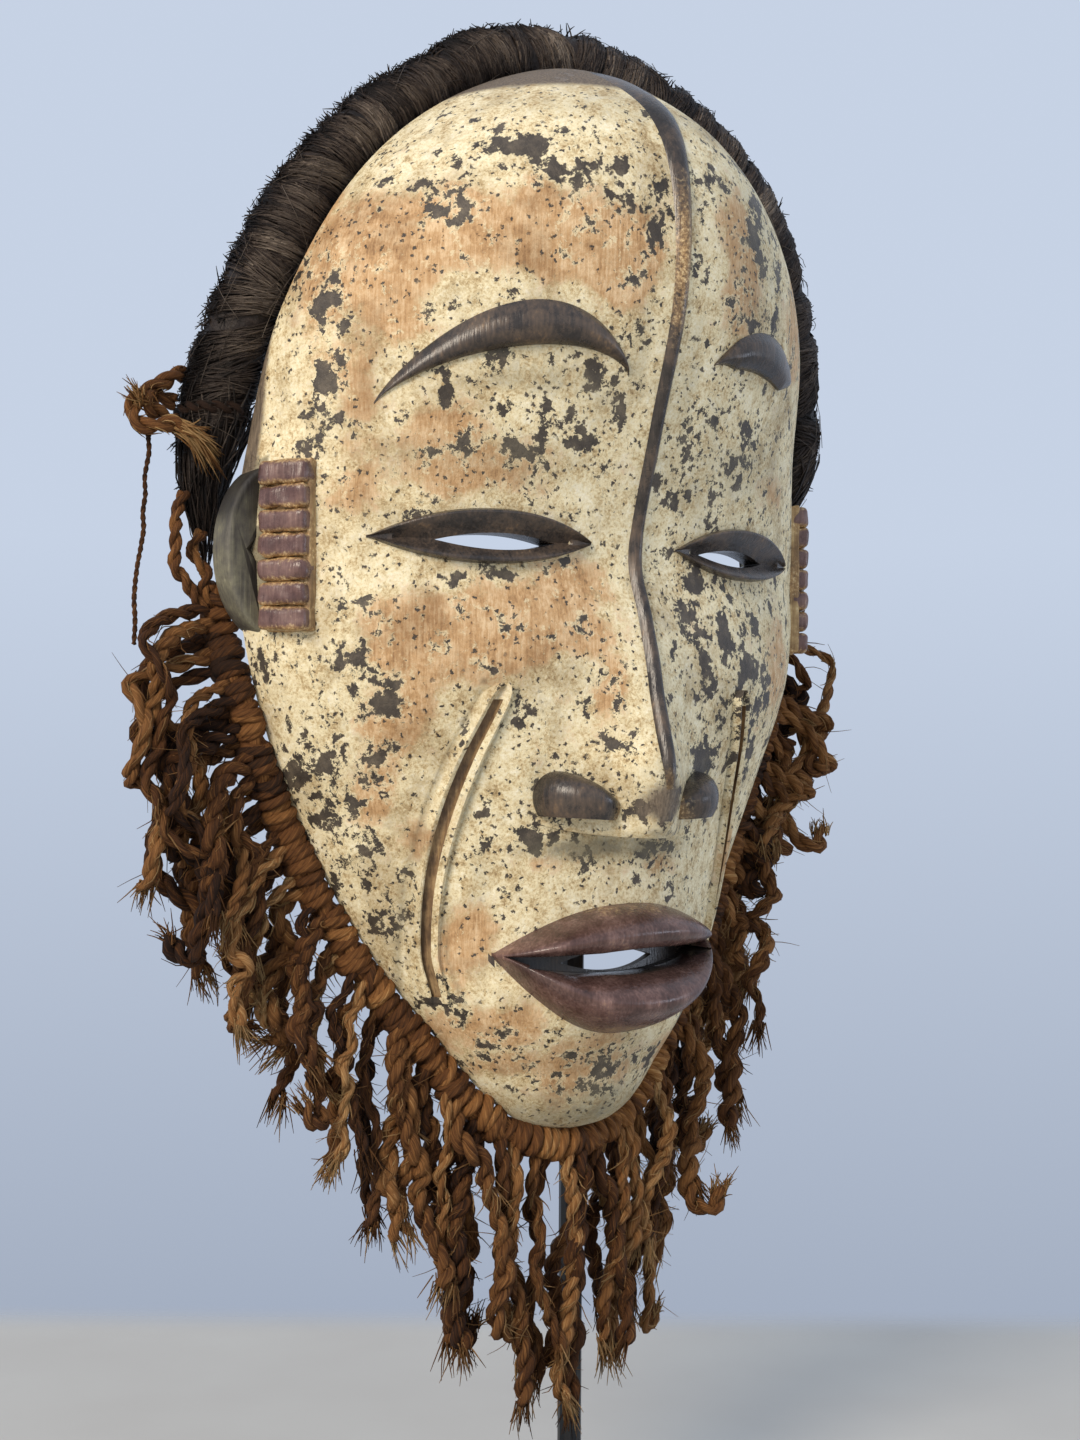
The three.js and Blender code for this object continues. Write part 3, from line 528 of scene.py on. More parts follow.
# Kaolin paint worn through to light wood, with the dark undercoat showing where it has chipped off.
def wornKaolinPaint():
    material, tree = newMaterial("wornKaolinPaint")
    place = objectPlace(tree)
    # Every edge wanders by up to 0.8 mm.
    wander = noise(tree, place, 420, 4, 0.7).outputs["Color"]
    centred = addNode(tree, "VectorMath", {"operation": "SUBTRACT"}, {0: wander, 1: (0.5, 0.5, 0.5)})
    warped = addNode(tree, "VectorMath", {"operation": "MULTIPLY_ADD"},
                     {0: centred, 1: (0.0042, 0.0042, 0.0042), 2: place})
    flake = attribute(tree, "flake")
    # Grain lines 0.7 mm apart, cloudy tone 20 mm and 6 mm, speckle 1 mm.
    grain = noise(tree, stretched(tree, place, (1, 1, 0.05)), 1400, 3, 0.6)
    cloud = noise(tree, place, 50, 6, 0.62)
    mottle = noise(tree, warped, 170, 7, 0.72)
    speckle = noise(tree, place, 1000, 4, 0.75)
    tan = ramp(tree, scaledSum(tree, grain, 0.35, arithmetic(tree, "MULTIPLY", mottle, 0.65)),
               [(0.33, "#8C6843"), (0.47, "#C29A6B"), (0.61, "#E2C49A")])
    cream = ramp(tree, scaledSum(tree, speckle, 0.45, arithmetic(tree, "MULTIPLY", mottle, 0.55)),
                 [(0.35, "#8E754F"), (0.43, "#C7AF82"), (0.5, "#E9DAB0"), (0.63, "#FCF4D9")])
    wornLevel = scaledSum(tree, mottle, 1.1, scaledSum(tree, cloud, 1.5, attribute(tree, "worn")))
    surface = mixed(tree, remap(tree, wornLevel, 1.52, 1.84, way="SMOOTHSTEP"), cream, tan)
    # Chips 2.6 mm across that come away in groups about 9 mm across, and tall streaks of them at the sides.
    chip = addNode(tree, "TexVoronoi", {}, {"Vector": warped, "Scale": 380}).outputs["Color"]
    group = noise(tree, warped, 110, 5, 0.6)
    groupLevel = scaledSum(tree, flake, 0.24, scaledSum(tree, chip, 0.2, group))
    streaks = noise(tree, stretched(tree, warped, (1, 1, 0.36)), 260, 5, 0.62)
    streakLevel = scaledSum(tree, attribute(tree, "streak"), 0.16, streaks)
    groups = arithmetic(tree, "MAXIMUM", groupLevel, scaledSum(tree, chip, 0.12, streakLevel))
    # Flecks 1 to 2 mm across, crowded round the groups.
    fleckGroup = scaledSum(tree, group, 0.5, noise(tree, warped, 640, 4, 0.65))
    flecks = arithmetic(tree, "SUBTRACT", scaledSum(tree, flake, 0.11, fleckGroup), 0.19)
    level = arithmetic(tree, "MAXIMUM", groups, flecks)
    # A thin pale rim where the paint stands proud round each chip.
    rim = remap(tree, level, 0.70, 0.755, toMax=0.7, way="SMOOTHSTEP")
    rimmed = mixed(tree, rim, surface, colour("#EDDFB6"))
    # Pinholes 0.6 to 1.2 mm across.
    pin = addNode(tree, "TexVoronoi", {}, {"Vector": warped, "Scale": 620})
    pinPick = remap(tree, scaledSum(tree, flake, 0.22, pin.outputs["Color"]), 0.75, 0.78)
    pins = arithmetic(tree, "MULTIPLY", pinPick, remap(tree, pin.outputs["Distance"], 0.42, 0.3))
    gone = arithmetic(tree, "MAXIMUM", remap(tree, level, 0.765, 0.785, way="SMOOTHSTEP"), pins)
    darkCoat = ramp(tree, mottle, [(0.3, "#332D27"), (0.5, "#4C443B"), (0.7, "#6F6454")])
    flaked = mixed(tree, gone, rimmed, darkCoat)
    # Olive-grey dirt, together with painted shade where the zones mark it: under the nose, brows and lids,
    # along the scar's edges and at the chin.
    dirtAndShade = arithmetic(tree, "MULTIPLY", attribute(tree, "grimeAndShade"), mottle)
    grimyAndShaded = mixed(tree, remap(tree, dirtAndShade, 0.1, 0.6, toMax=0.8), flaked, colour("#6A634E"))
    # Soot and handling dirt rubbed thinly over patches about 25 mm across.
    haze = remap(tree, noise(tree, warped, 40, 8, 0.72), 0.46, 0.66, toMax=0.5, way="SMOOTHSTEP")
    hazy = mixed(tree, haze, grimyAndShaded, colour("#A08E74"), "MULTIPLY")
    bare = remap(tree, scaledSum(tree, mottle, 0.5, attribute(tree, "bare")), 0.55, 0.95, way="SMOOTHSTEP")
    whole = mixed(tree, bare, hazy, ramp(tree, grain, [(0.3, "#4A4037"), (0.7, "#877763")]))
    bump = bumped(tree, scaledSum(tree, gone, -1.0, speckle), 0.7, 0.0005)
    finishMaterial(tree, whole, remap(tree, gone, 0, 1, 0.6, 0.42), 0.4, Normal=bump)
    return material


# Carved wood under a thin dark stain, handled until it shines, with tool marks along the grain and
# rubbed through to ochre where the rubbed attribute says so.
def stainedWood(name, shades, roughness):
    material, tree = newMaterial(name)
    place = objectPlace(tree)
    # Grain and tool marks 0.9 mm apart, tone that drifts over 12 mm, speckle 1 mm.
    grain = noise(tree, stretched(tree, place, (1, 1, 0.06)), 1100, 3, 0.6)
    cloud = noise(tree, place, 85, 7, 0.7)
    speckle = noise(tree, place, 900, 3, 0.7)
    spread = remap(tree, scaledSum(tree, grain, 0.4, cloud), 0.45, 0.95)
    stain = ramp(tree, spread, list(zip((0, 0.4, 0.75, 1), shades)))
    rubLevel = scaledSum(tree, speckle, 0.7, attribute(tree, "rubbed"))
    ochre = ramp(tree, speckle, [(0.3, "#7A5C38"), (0.52, "#B08C5C"), (0.7, "#E0CA9C")])
    rubbed = mixed(tree, remap(tree, scaledSum(tree, cloud, 0.7, rubLevel), 0.95, 1.35), stain, ochre)
    # Darkened towards near-black by the attribute for dirt and shade: soot, and painted shade at the brows'
    # lower edges and under the lids.
    sootAndShade = arithmetic(tree, "MULTIPLY", attribute(tree, "grimeAndShade"), 0.8)
    whole = mixed(tree, sootAndShade, rubbed, colour("#1E1915"))
    finishMaterial(tree, whole, remap(tree, cloud, 0.3, 0.7, roughness - 0.08, roughness + 0.12),
                   Normal=bumped(tree, grain, 0.5, 0.0004))
    return material


# Each stain's name, its shades from dark to light, and its roughness.
stains = {
    "charcoal": ("charcoalStain", ("#1B1817", "#38322E", "#5A4C40", "#856B4E"), 0.26),
    "lipStain": ("redBrownStain", ("#35221E", "#5A413B", "#7F625A", "#B08F76"), 0.22),
    "barStain": ("madderStain", ("#3A2724", "#5F4540", "#7C6058", "#A88D7C"), 0.28),
    "lobeStain": ("greyOliveStain", ("#332E29", "#5A564C", "#77735F", "#A09B80"), 0.6),
    "bareWood": ("bareCarvedWood", ("#5B452F", "#80634A", "#A08364", "#BFA37F"), 0.7),
    "groove": ("grooveBrown", ("#443424", "#755C41", "#A3875F", "#B59A70"), 0.6),
    "ochre": ("ochreGround", ("#5A452C", "#876944", "#B5986A", "#E0CDA0"), 0.6),
}
faceMaterials = {"paint": wornKaolinPaint()}
for stainName, stain in stains.items():
    faceMaterials[stainName] = stainedWood(*stain)
finishes = list(faceMaterials)


def makeShell():
    piece, t, s, isBack = thickGrid(face["steps"], face["steps"])
    # The square grid is laid out as a disc, closer together towards the rim.
    a, b = 2 * t - 1, 2 * s - 1
    part = np.maximum(np.abs(a), np.abs(b))
    with np.errstate(divide="ignore", invalid="ignore"):
        angle = np.where(np.abs(a) >= np.abs(b), 45 * b / a + np.where(a < 0, 180, 0),
                         90 - 45 * a / b + np.where(b < 0, 180, 0))
    angle = (np.nan_to_num(angle) + 180) % 360 - 180
    share = np.sin(np.pi / 2 * part)
    rim = rimPoint(angle)
    x, z = rim[:, 0] * share, widestHeight + (rim[:, 2] - widestHeight) * share
    y = np.where(part > 0.9999, rim[:, 1], faceY(x, z))
    reach = np.maximum(np.hypot(rim[:, 0], rim[:, 2] - widestHeight), 1)
    inward = np.where(isBack, (reach - face["wall"]) / reach, 1)
    y = y + np.where(isBack, face["wall"] * (1 - share ** face["wallFade"]), 0)
    layOut(piece, [x * inward, y, widestHeight + (z - widestHeight) * inward], "paint")
    inside = np.array([isBack[list(p.vertices)].all() for p in piece.data.polygons])
    piece.data.polygons.foreach_set("material_index", np.where(inside, finishes.index("bareWood"), 0))
    return piece


prism = {"steps": 24, "front": -120, "back": 20}


# A prism along Y with a pointed lens for its outline. It pierces the face, or stops at a depth in it.
def lensPrism(middle, half, height, upper, lower, depth=None, tilt=0.0, finish="charcoal"):
    piece, t, s, isBack = thickGrid(prism["steps"], 2)
    across = 2 * t - 1
    rise = np.where(s > 0.75, upper, np.where(s < 0.25, -lower, 0)) * (1 - across ** 2)
    edge = np.where(np.abs(across) > 0.999, (s - 0.5) * 0.1, 0)
    x, z = middle + half * across, height + rise + edge + tilt * half * across
    back = prism["back"] if depth is None else faceY(x, z) + depth
    return layOut(piece, [x, np.where(isBack, back, prism["front"]), z], finish)


brow = {
    "inner": 14, "outer": 85, "innerHeight": 245, "outerHeight": 234, "rise": 22, "archPower": 0.8,
    "thick": 13.5, "tipThick": 0.8, "taperPower": 0.8, "drop": 0.26, "proud": 5, "sink": 5,
    "leftRun": (0.07, 0.76), "leftTaper": (5, 0.6),
    "section": [(0, 0.3), (0.12, 0.75), (0.33, 1), (0.67, 0.8), (0.93, 0.3), (1, 0.12)],
}


# The brow on the mask's left is a little shorter: it runs between the given shares of the arch.
def browRelief(start, end):
    def place(t, s):
        way = start + t * (end - start)
        middleLine = (brow["innerHeight"] + (brow["outerHeight"] - brow["innerHeight"]) * way
                      + brow["rise"] * (1 - (2 * way - 1) ** 2) ** brow["archPower"])
        full = brow["thick"] * np.sin(np.pi * way) ** brow["taperPower"]
        steep, power = brow["leftTaper"]
        taper = np.clip(np.minimum(t, 1 - t) * steep, 0, 1) ** power if end < 1 else 1
        thick = np.maximum(full * taper, brow["tipThick"])
        return (brow["inner"] + (brow["outer"] - brow["inner"]) * way,
                middleLine + thick * (s - 0.5 - brow["drop"]))

    def proud(t, s, x, z):
        return brow["proud"] * np.sqrt(np.sin(np.pi * t)) * along(brow["section"], s)

    return relief(place, proud, 72, 14, brow["sink"], "charcoal")


# The lids: a raised ring with a valley that slopes in to the slit, on a plug let into the face.
eye = {
    "middle": 51, "half": 34, "height": 193.5, "upper": 9.3, "lower": 7.5, "proud": 3.6,
    "cornerPower": 2.2, "tipWidth": 0.4, "sink": 9.5, "lift": 0.25, "cornerFrom": 0.8,
    "endPower": 0.35, "endShare": 0.1,
    "section": [(0, -0.5), (0.3, 0.0), (0.6, 0.62), (0.84, 1), (0.94, 0.92), (1, 0.35)],
    "slit": {"middle": 47.5, "half": 18.5, "height": 193, "upper": 2.6, "lower": 2.7},
    "pocket": {"middle": 51, "half": 29, "height": 193.5, "upper": 8, "lower": 6.4},
}


def lidRelief():
    def place(t, s):
        across, share = 2 * t - 1, 2 * s - 1
        reach = np.where(share > 0, eye["upper"], eye["lower"])
        outline = np.maximum(reach * (1 - np.abs(across) ** eye["cornerPower"]), eye["tipWidth"])
        return eye["middle"] + eye["half"] * across, eye["height"] + outline * share

    def proud(t, s, x, z):
        fade = np.clip(np.sin(np.pi * t), 0.0, 1) ** eye["endPower"] * (1 - eye["endShare"]) + eye["endShare"]
        height = eye["proud"] * along(eye["section"], np.abs(2 * s - 1)) * fade + eye["lift"]
        return np.where(np.abs(2 * t - 1) > eye["cornerFrom"], np.maximum(height, eye["lift"]), height)

    return relief(place, proud, 72, 28, eye["sink"], "charcoal")


rib = {"bottom": 116, "top": 352, "half": 2.8, "proud": 2.7, "sink": 0.5, "ends": (16, 0.6), "round": 0.8,
       "width": [(116, 0.5), (126, 0.95), (150, 1), (230, 1), (275, 1.15), (305, 1.5), (328, 2.1), (352, 3)]}


def ribRelief():
    def place(t, s):
        z = rib["bottom"] + (rib["top"] - rib["bottom"]) * t
        return rib["half"] * along(rib["width"], z) * (2 * s - 1), z

    def proud(t, s, x, z):
        steep, power = rib["ends"]
        ends = np.clip(np.minimum(t, 1 - t) * steep, 0, 1) ** power
        return rib["proud"] * ends * np.sin(np.pi * s) ** rib["round"] - rib["sink"] + noseProud(0, z)

    return relief(place, proud, 150, 8, 4, "charcoal")


nose = {
    "top": 198, "bottom": 101, "half": 38, "narrowing": 14, "crowding": 1.7, "sink": 0.3, "smile": 6,
    "ridge": [(101, 16.5), (104, 18.5), (108, 19), (120, 18.5), (135, 12), (150, 6.5), (170, 2.5), (198, 0)],
    "halfWidth": [(101, 17), (120, 16), (150, 15), (198, 12)],
    "wing": {"across": 20, "height": 113.5, "wide": 14.5, "tall": 12, "proud": 15, "sink": 5, "full": 0.88,
             "tilt": 0.06, "cut": 107, "innerDrop": 0.48, "runOut": 0.5, "runOutPower": 1.4, "slopeReach": 8},
}


def noseProud(x, z):
    return along(nose["ridge"], z) * np.exp(-((x / along(nose["halfWidth"], z)) ** 2))


def noseRelief():
    def place(t, s):
        across = 2 * s - 1
        half = nose["half"] - nose["narrowing"] * t
        bottom = nose["bottom"] + nose["smile"] * across ** 2
        return half * across, bottom + (nose["top"] - bottom) * t ** nose["crowding"]

    return relief(place, lambda t, s, x, z: noseProud(x, z) - nose["sink"], 56, 64, 5, "paint")


def noseWing():
    wing = nose["wing"]
    reach = np.array([-1, 1]) * wing["slopeReach"]
    near, far = faceY(reach + wing["across"], np.full(2, float(wing["height"])))
    piece = addNew(bpy.ops.mesh.primitive_uv_sphere_add, segments=56, ring_count=32, radius=1)
    flat = (wing["cut"] - wing["height"]) / wing["tall"]
    editAll(bpy.ops.mesh.bisect, plane_co=(0, 0, flat), plane_no=(0, 0, 1), use_fill=True, clear_inner=True)
    sphere = pointsOf(piece)
    dome = np.sign(sphere) * np.abs(sphere) ** (wing["full"], wing["full"], 1)
    x = wing["across"] + wing["wide"] * dome[:, 0]
    # A teardrop: its top falls away towards the middle of the nose.
    rise = np.maximum(dome[:, 2], 0) * (1 - wing["innerDrop"] * (1 - dome[:, 0])) + np.minimum(dome[:, 2], 0)
    z = wing["height"] + wing["tall"] * rise + wing["tilt"] * (x - wing["across"])
    # Its inner end runs out low and shallow into the tip of the nose.
    runOut = 1 - wing["runOut"] * np.maximum(-dome[:, 0], 0) ** wing["runOutPower"]
    deep = np.where(dome[:, 1] > 0, wing["sink"], wing["proud"] * runOut)
    slope = (far - near) / (reach[1] - reach[0])
    y = (near + far) / 2 + deep * dome[:, 1] + slope * (x - wing["across"])
    return layOut(piece, [x, y, wing["cut"] + (z - wing["cut"]) * runOut], "charcoal")


mouth = {
    "middle": 1.4, "tilt": 0.035, "half": 42.5, "corner": 65.5, "cornerLap": 0.6, "top": 79.5, "bottom": 38,
    "slitTop": 65.3, "slitBottom": 58.2, "upper": 14.5, "lower": 15.5, "cornerPower": 2.3, "opening": 1.3,
    "least": 0.8, "innerUpper": 0.2, "innerLower": 0.1, "roundPower": 0.7, "fade": 6, "fadePower": 0.6,
    "edge": 0.3, "sink": 5,
    "pocket": {"middle": 1.4, "half": 38, "height": 62, "upper": 4, "lower": 4.2, "depth": 4, "tilt": 0.035},
    "gap": {"middle": -1.2, "half": 18, "height": 61.5, "upper": 3.3, "lower": 3.4, "tilt": 0.035},
    "inside": {"half": 43, "height": 62, "tall": 6},
}


def lipRelief(isUpper):
    names = (("top", "slitTop", "upper", "innerUpper") if isUpper else
             ("bottom", "slitBottom", "lower", "innerLower"))
    rim, slit, bulgeHeight, innerShare = [mouth[name] for name in names]
    way = 1 if isUpper else -1

    def place(t, s):
        across = 2 * t - 1
        fall = 1 - np.abs(across) ** mouth["cornerPower"]
        outerEdge = mouth["corner"] + (rim - mouth["corner"]) * fall
        opened = np.minimum(fall * mouth["opening"], 1)
        lap = -way * mouth["cornerLap"] * (1 - opened)
        innerEdge = mouth["corner"] + (slit - mouth["corner"]) * opened + lap
        edge = way * np.maximum(way * outerEdge, way * innerEdge + mouth["least"])
        x = mouth["middle"] + mouth["half"] * across
        return x, innerEdge + (edge - innerEdge) * s + mouth["tilt"] * x

    def proud(t, s, x, z):
        bulge = np.maximum(np.sin(np.pi * (innerShare + (1 - innerShare) * s)), 0) ** mouth["roundPower"]
        fade = np.maximum(1 - np.abs(2 * t - 1) ** mouth["fade"], 0) ** mouth["fadePower"]
        return bulgeHeight * bulge * fade + mouth["edge"] * (1 - 2 * s)

    return relief(place, proud, 80, 20, mouth["sink"], "lipStain")


scar = {
    "route": [(48, 52), (65, 57.5), (93, 59), (124, 55), (149, 48)], "width": 11, "sink": 2.5,
    "narrowing": [(0, 0.55), (0.3, 0.8), (0.6, 1.0), (0.92, 0.95), (0.97, 0.8), (1, 0.3)],
    "section": [(0, 0.1), (0.1, 1.2), (0.2, 2.9), (0.28, 2.7), (0.5, 0.6), (0.72, 2.7), (0.8, 2.9),
                (0.9, 1.2), (1, 0.1)],
    "groove": {"width": 3.2, "depth": 1, "proud": 4.0, "start": 0.02, "run": 0.93, "round": 0.6},
}


def scarPlace(width):
    def place(t, s):
        bottom, top = scar["route"][0][0], scar["route"][-1][0]
        z = bottom + (top - bottom) * t
        return along(scar["route"], z) + width * (s - 0.5) * along(scar["narrowing"], t), z
    return place


def scarRelief():
    return relief(scarPlace(scar["width"]), lambda t, s, x, z: along(scar["section"], s), 72, 14,
                  scar["sink"], "paint")


def scarGroove():
    groove = scar["groove"]
    place = scarPlace(groove["width"])
    return relief(lambda t, s: place(groove["start"] + groove["run"] * t, s),
                  lambda t, s, x, z: groove["proud"], 72, 4,
                  lambda s: groove["depth"] * np.sin(np.pi * np.clip(s, 0.02, 0.98)) ** groove["round"],
                  "groove")


earBar = {
    "front": (98.5, -23.5), "facing": (0.87, -0.5), "length": 17, "bottom": 164.5, "ridges": 7, "pitch": 7.5,
    "proud": 4.8, "root": 6,
    "plate": {"front": 1.4, "start": 0.8, "endInset": 0.4, "corner": 0.8},
    "block": {"tall": 7.2, "back": -2, "start": -0.8, "endInset": 0.7, "corner": 1.9},
    "handCut": {"cuts": 12, "waves": 5, "pace": (0.5, 0.45, 0.7), "swing": (0.14, 0.14, 0.16)},
}


# Turns (out, along, up) of the bar into the mask's frame.
def barPlace(points):
    out = unit(np.array([*earBar["facing"], 0.0]))
    forward = np.cross(out, (0, 0, 1))
    origin = np.array([*earBar["front"], 0]) - earBar["length"] * forward
    return origin + points[:, :1] * out + points[:, 1:2] * forward + points[:, 2:] * (0, 0, 1)


def roundedBlock(low, high, corner, finish, seed):
    random, hand = np.random.default_rng(seed), earBar["handCut"]
    piece = addNew(bpy.ops.mesh.primitive_cube_add, size=1)
    editAll(bpy.ops.mesh.subdivide, number_cuts=hand["cuts"])
    low, high = np.array(low, float), np.array(high, float)
    # The cuts crowd towards the edges, which are then drawn in to a round corner.
    cut = low + (0.5 + 0.5 * np.sin(np.pi * pointsOf(piece))) * (high - low)
    inner = np.clip(cut, low + corner, high - corner)
    cut = inner + corner * unit(cut - inner)
    # Cut by hand: shallow hollows and a wavering edge, up to 0.5 mm.
    for wave in range(hand["waves"]):
        way = random.normal(0, 1, 3) * hand["pace"]
        swing = random.normal(0, 1, 3) * hand["swing"]
        cut = cut + np.sin(cut @ way + random.uniform(0, 6))[:, None] * swing
    return layOut(piece, barPlace(cut).T, finish)


def addEarBar(wood):
    bar, plate, block = earBar, earBar["plate"], earBar["block"]
    top = bar["bottom"] + bar["pitch"] * bar["ridges"]
    tool = roundedBlock((-bar["root"], plate["start"], bar["bottom"]),
                        (plate["front"], bar["length"] - plate["endInset"], top), plate["corner"], "ochre", 3)
    onBothSides(wood, tool, "UNION")
    for i in range(bar["ridges"]):
        low = bar["bottom"] + bar["pitch"] * (i + 0.5) - block["tall"] / 2
        high = (bar["proud"], bar["length"] - block["endInset"], low + block["tall"])
        tool = roundedBlock((block["back"], block["start"], low), high, block["corner"], "barStain", 40 + i)
        onBothSides(wood, tool, "UNION")


earLobe = {
    "middle": 102, "reach": 17, "height": 190, "half": 27, "front": -6, "thick": 11, "root": 6, "round": 1.6,
    "flatRing": 0.3, "notch": {"middle": 104, "radius": 17, "depth": 13, "tall": 1.15},
}


def addEarLobe(wood):
    lobe, notch = earLobe, earLobe["notch"]
    piece = addNew(bpy.ops.mesh.primitive_cylinder_add, vertices=72, radius=1, depth=1)
    disc = pointsOf(piece)
    x = lobe["middle"] + np.where(disc[:, 0] > 0, lobe["reach"], lobe["root"]) * disc[:, 0]
    z = lobe["height"] + lobe["half"] * disc[:, 1]
    y = lobe["front"] + lobe["thick"] * (disc[:, 2] + 0.5)
    movePoints(piece, np.stack([x, y, z], -1))
    modifier = piece.modifiers.new("round", "BEVEL")
    modifier.width = lobe["round"]
    modifier.segments = 4
    bpy.ops.object.modifier_apply(modifier=modifier.name)
    # A narrow ring inside each flat side keeps the side flat in the light.
    piece.data.polygons.foreach_set("select", [len(p.vertices) > 8 for p in piece.data.polygons])
    bpy.ops.object.mode_set(mode="EDIT")
    bpy.ops.mesh.select_mode(type="FACE")
    bpy.ops.mesh.inset(thickness=lobe["flatRing"])
    bpy.ops.object.mode_set(mode="OBJECT")
    layOut(piece, pointsOf(piece).T, "lobeStain")
    hollow = addNew(bpy.ops.mesh.primitive_cone_add, vertices=4, radius1=notch["radius"],
                    depth=notch["depth"])
    cone = pointsOf(hollow)
    layOut(hollow, [notch["middle"] + cone[:, 0], lobe["front"] + cone[:, 2],
                    lobe["height"] + cone[:, 1] * notch["tall"]], "lobeStain")
    carveInto(piece, hollow, "DIFFERENCE")
    onBothSides(wood, piece, "UNION")


# Wear that follows the carving, and painted shade along the scar's edges. A band is where it starts and how
# far on it is full.
wear = {
    "top": 336, "topFade": 8, "topCurve": 0.02, "edgeBand": (-7, 5), "edgeHeight": (190, 30), "edge": 0.8,
    "barSide": 88, "barBack": -7.5, "barLap": 0.2, "barEven": 0.12, "barRidge": 0.5,
    "cap": {"strength": 1.1, "side": (96, 100), "back": -7.5, "rise": (195, 203), "top": 219},
    "lobe": {"strength": 1.5, "side": 92, "depth": (-14, 9), "height": (170, 212)},
    "scar": {"strength": 0.75, "side": 5.4, "soft": 0.9, "height": (46, 150)},
    "flake": 0.06, "streakSplit": 165, "lowStreak": (0.75, 62, 88), "highStreak": (0.5, 20, 60),
}


def between(limits, values):
    return (values > limits[0]) * (values < limits[1])


def band(limits, values):
    return np.clip((values - limits[0]) / limits[1], 0, 1)


def wearPaint(wood):
    x, y, z = (pointsOf(wood) * 1000 - (0, seat["behindFoot"], seat["chinHeight"])).T
    side = np.abs(x)
    isPaint, isCarved, inside = np.zeros(len(x)), np.zeros(len(x)), mouth["inside"]
    for p in wood.data.polygons:
        across = (p.center.x * 1000 - mouth["middle"]) / inside["half"]
        up = (p.center.z * 1000 - seat["chinHeight"] - inside["height"]) / inside["tall"]
        if p.material_index == 0 and across ** 2 + up ** 2 < 1:
            p.material_index = finishes.index("charcoal")
        if p.material_index == 0:
            isPaint[list(p.vertices)] = 1
        elif p.material_index != finishes.index("bareWood"):
            isCarved[list(p.vertices)] = 1
    cap, lobe, groove = wear["cap"], wear["lobe"], wear["scar"]
    capDirt = (cap["strength"] * smoothStep(*cap["side"], side) * (y > cap["back"])
               * smoothStep(*cap["rise"], z) * (z < cap["top"]))
    lobeDirt = (lobe["strength"] * (side > lobe["side"]) * between(lobe["depth"], y)
                * between(lobe["height"], z))
    # Painted shade: a thin dark line along each edge of the scar relief, through the attribute for dirt and
    # shade.
    fromScar = np.abs(side - along(scar["route"], z)) * between(groove["height"], z)
    scarEdgeShade = groove["strength"] * np.exp(-((fromScar - groove["side"]) / groove["soft"]) ** 2)
    upBar = (z - earBar["bottom"]) / earBar["pitch"]
    onBar = (side > wear["barSide"]) & (y < wear["barBack"])
    onBar = onBar & between((-wear["barLap"], earBar["ridges"] + wear["barLap"]), upBar)
    barRub = onBar * (wear["barEven"] + wear["barRidge"] * (0.5 + 0.5 * np.cos(2 * np.pi * upBar)) ** 3)
    edge = band(wear["edgeBand"], y) * band(wear["edgeHeight"], z) * wear["edge"]
    top = band((0, wear["topFade"]), z - wear["top"] - wear["topCurve"] * side)
    (low, *lowSide), (high, *highSide) = wear["lowStreak"], wear["highStreak"]
    isLow = z < wear["streakSplit"]
    zones = {
        "worn": zoneStrength(wornZones, x, z),
        "grimeAndShade": np.maximum(np.maximum(zoneStrength(grimeAndShadeZones, x, z), scarEdgeShade),
                            capDirt + lobeDirt * (capDirt < 0.1) * isPaint),
        "flake": wear["flake"] + (1 - wear["flake"]) * zoneStrength(flakeZones, x, z),
        "bare": np.maximum(np.maximum(top, edge), zoneStrength(bareZones, x, z)),
        "rubbed": isCarved * np.maximum(zoneStrength(rubbedZones, x, z), barRub),
        "streak": low * smoothStep(*lowSide, side) * isLow + high * smoothStep(*highSide, x) * ~isLow,
    }
    for name, values in zones.items():
        wood.data.attributes.new(name, "FLOAT", "POINT").data.foreach_set("value", values)


def makeWood():
    wood = makeShell()
    wood.name = "carved_face"
    print("mask: shell laid", len(wood.data.polygons))
    onBothSides(wood, lensPrism(**eye["pocket"]), "DIFFERENCE")
    carveInto(wood, noseRelief(), "UNION")
    onBothSides(wood, noseWing(), "UNION")
    carveInto(wood, ribRelief(), "UNION")
    carveInto(wood, browRelief(*brow["leftRun"]), "UNION")
    carveInto(wood, mirrored(browRelief(0, 1)), "UNION")
    onBothSides(wood, lidRelief(), "UNION")
    carveInto(wood, lipRelief(True), "UNION")
    carveInto(wood, lipRelief(False), "UNION")
    onBothSides(wood, scarRelief(), "UNION")
    onBothSides(wood, scarGroove(), "DIFFERENCE")
    addEarBar(wood)
    addEarLobe(wood)
    onBothSides(wood, lensPrism(**eye["slit"]), "DIFFERENCE")
    carveInto(wood, lensPrism(**mouth["pocket"]), "DIFFERENCE")
    carveInto(wood, lensPrism(**mouth["gap"], finish="groove"), "DIFFERENCE")
    wearPaint(wood)
    selectOnly(wood)
    bpy.ops.object.shade_smooth_by_angle(angle=math.radians(34))
    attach(wood, "root")
    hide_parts("wood_mask")
    print("mask: wood carved, triangles", sum(len(p.vertices) - 2 for p in wood.data.polygons))


makeWood()

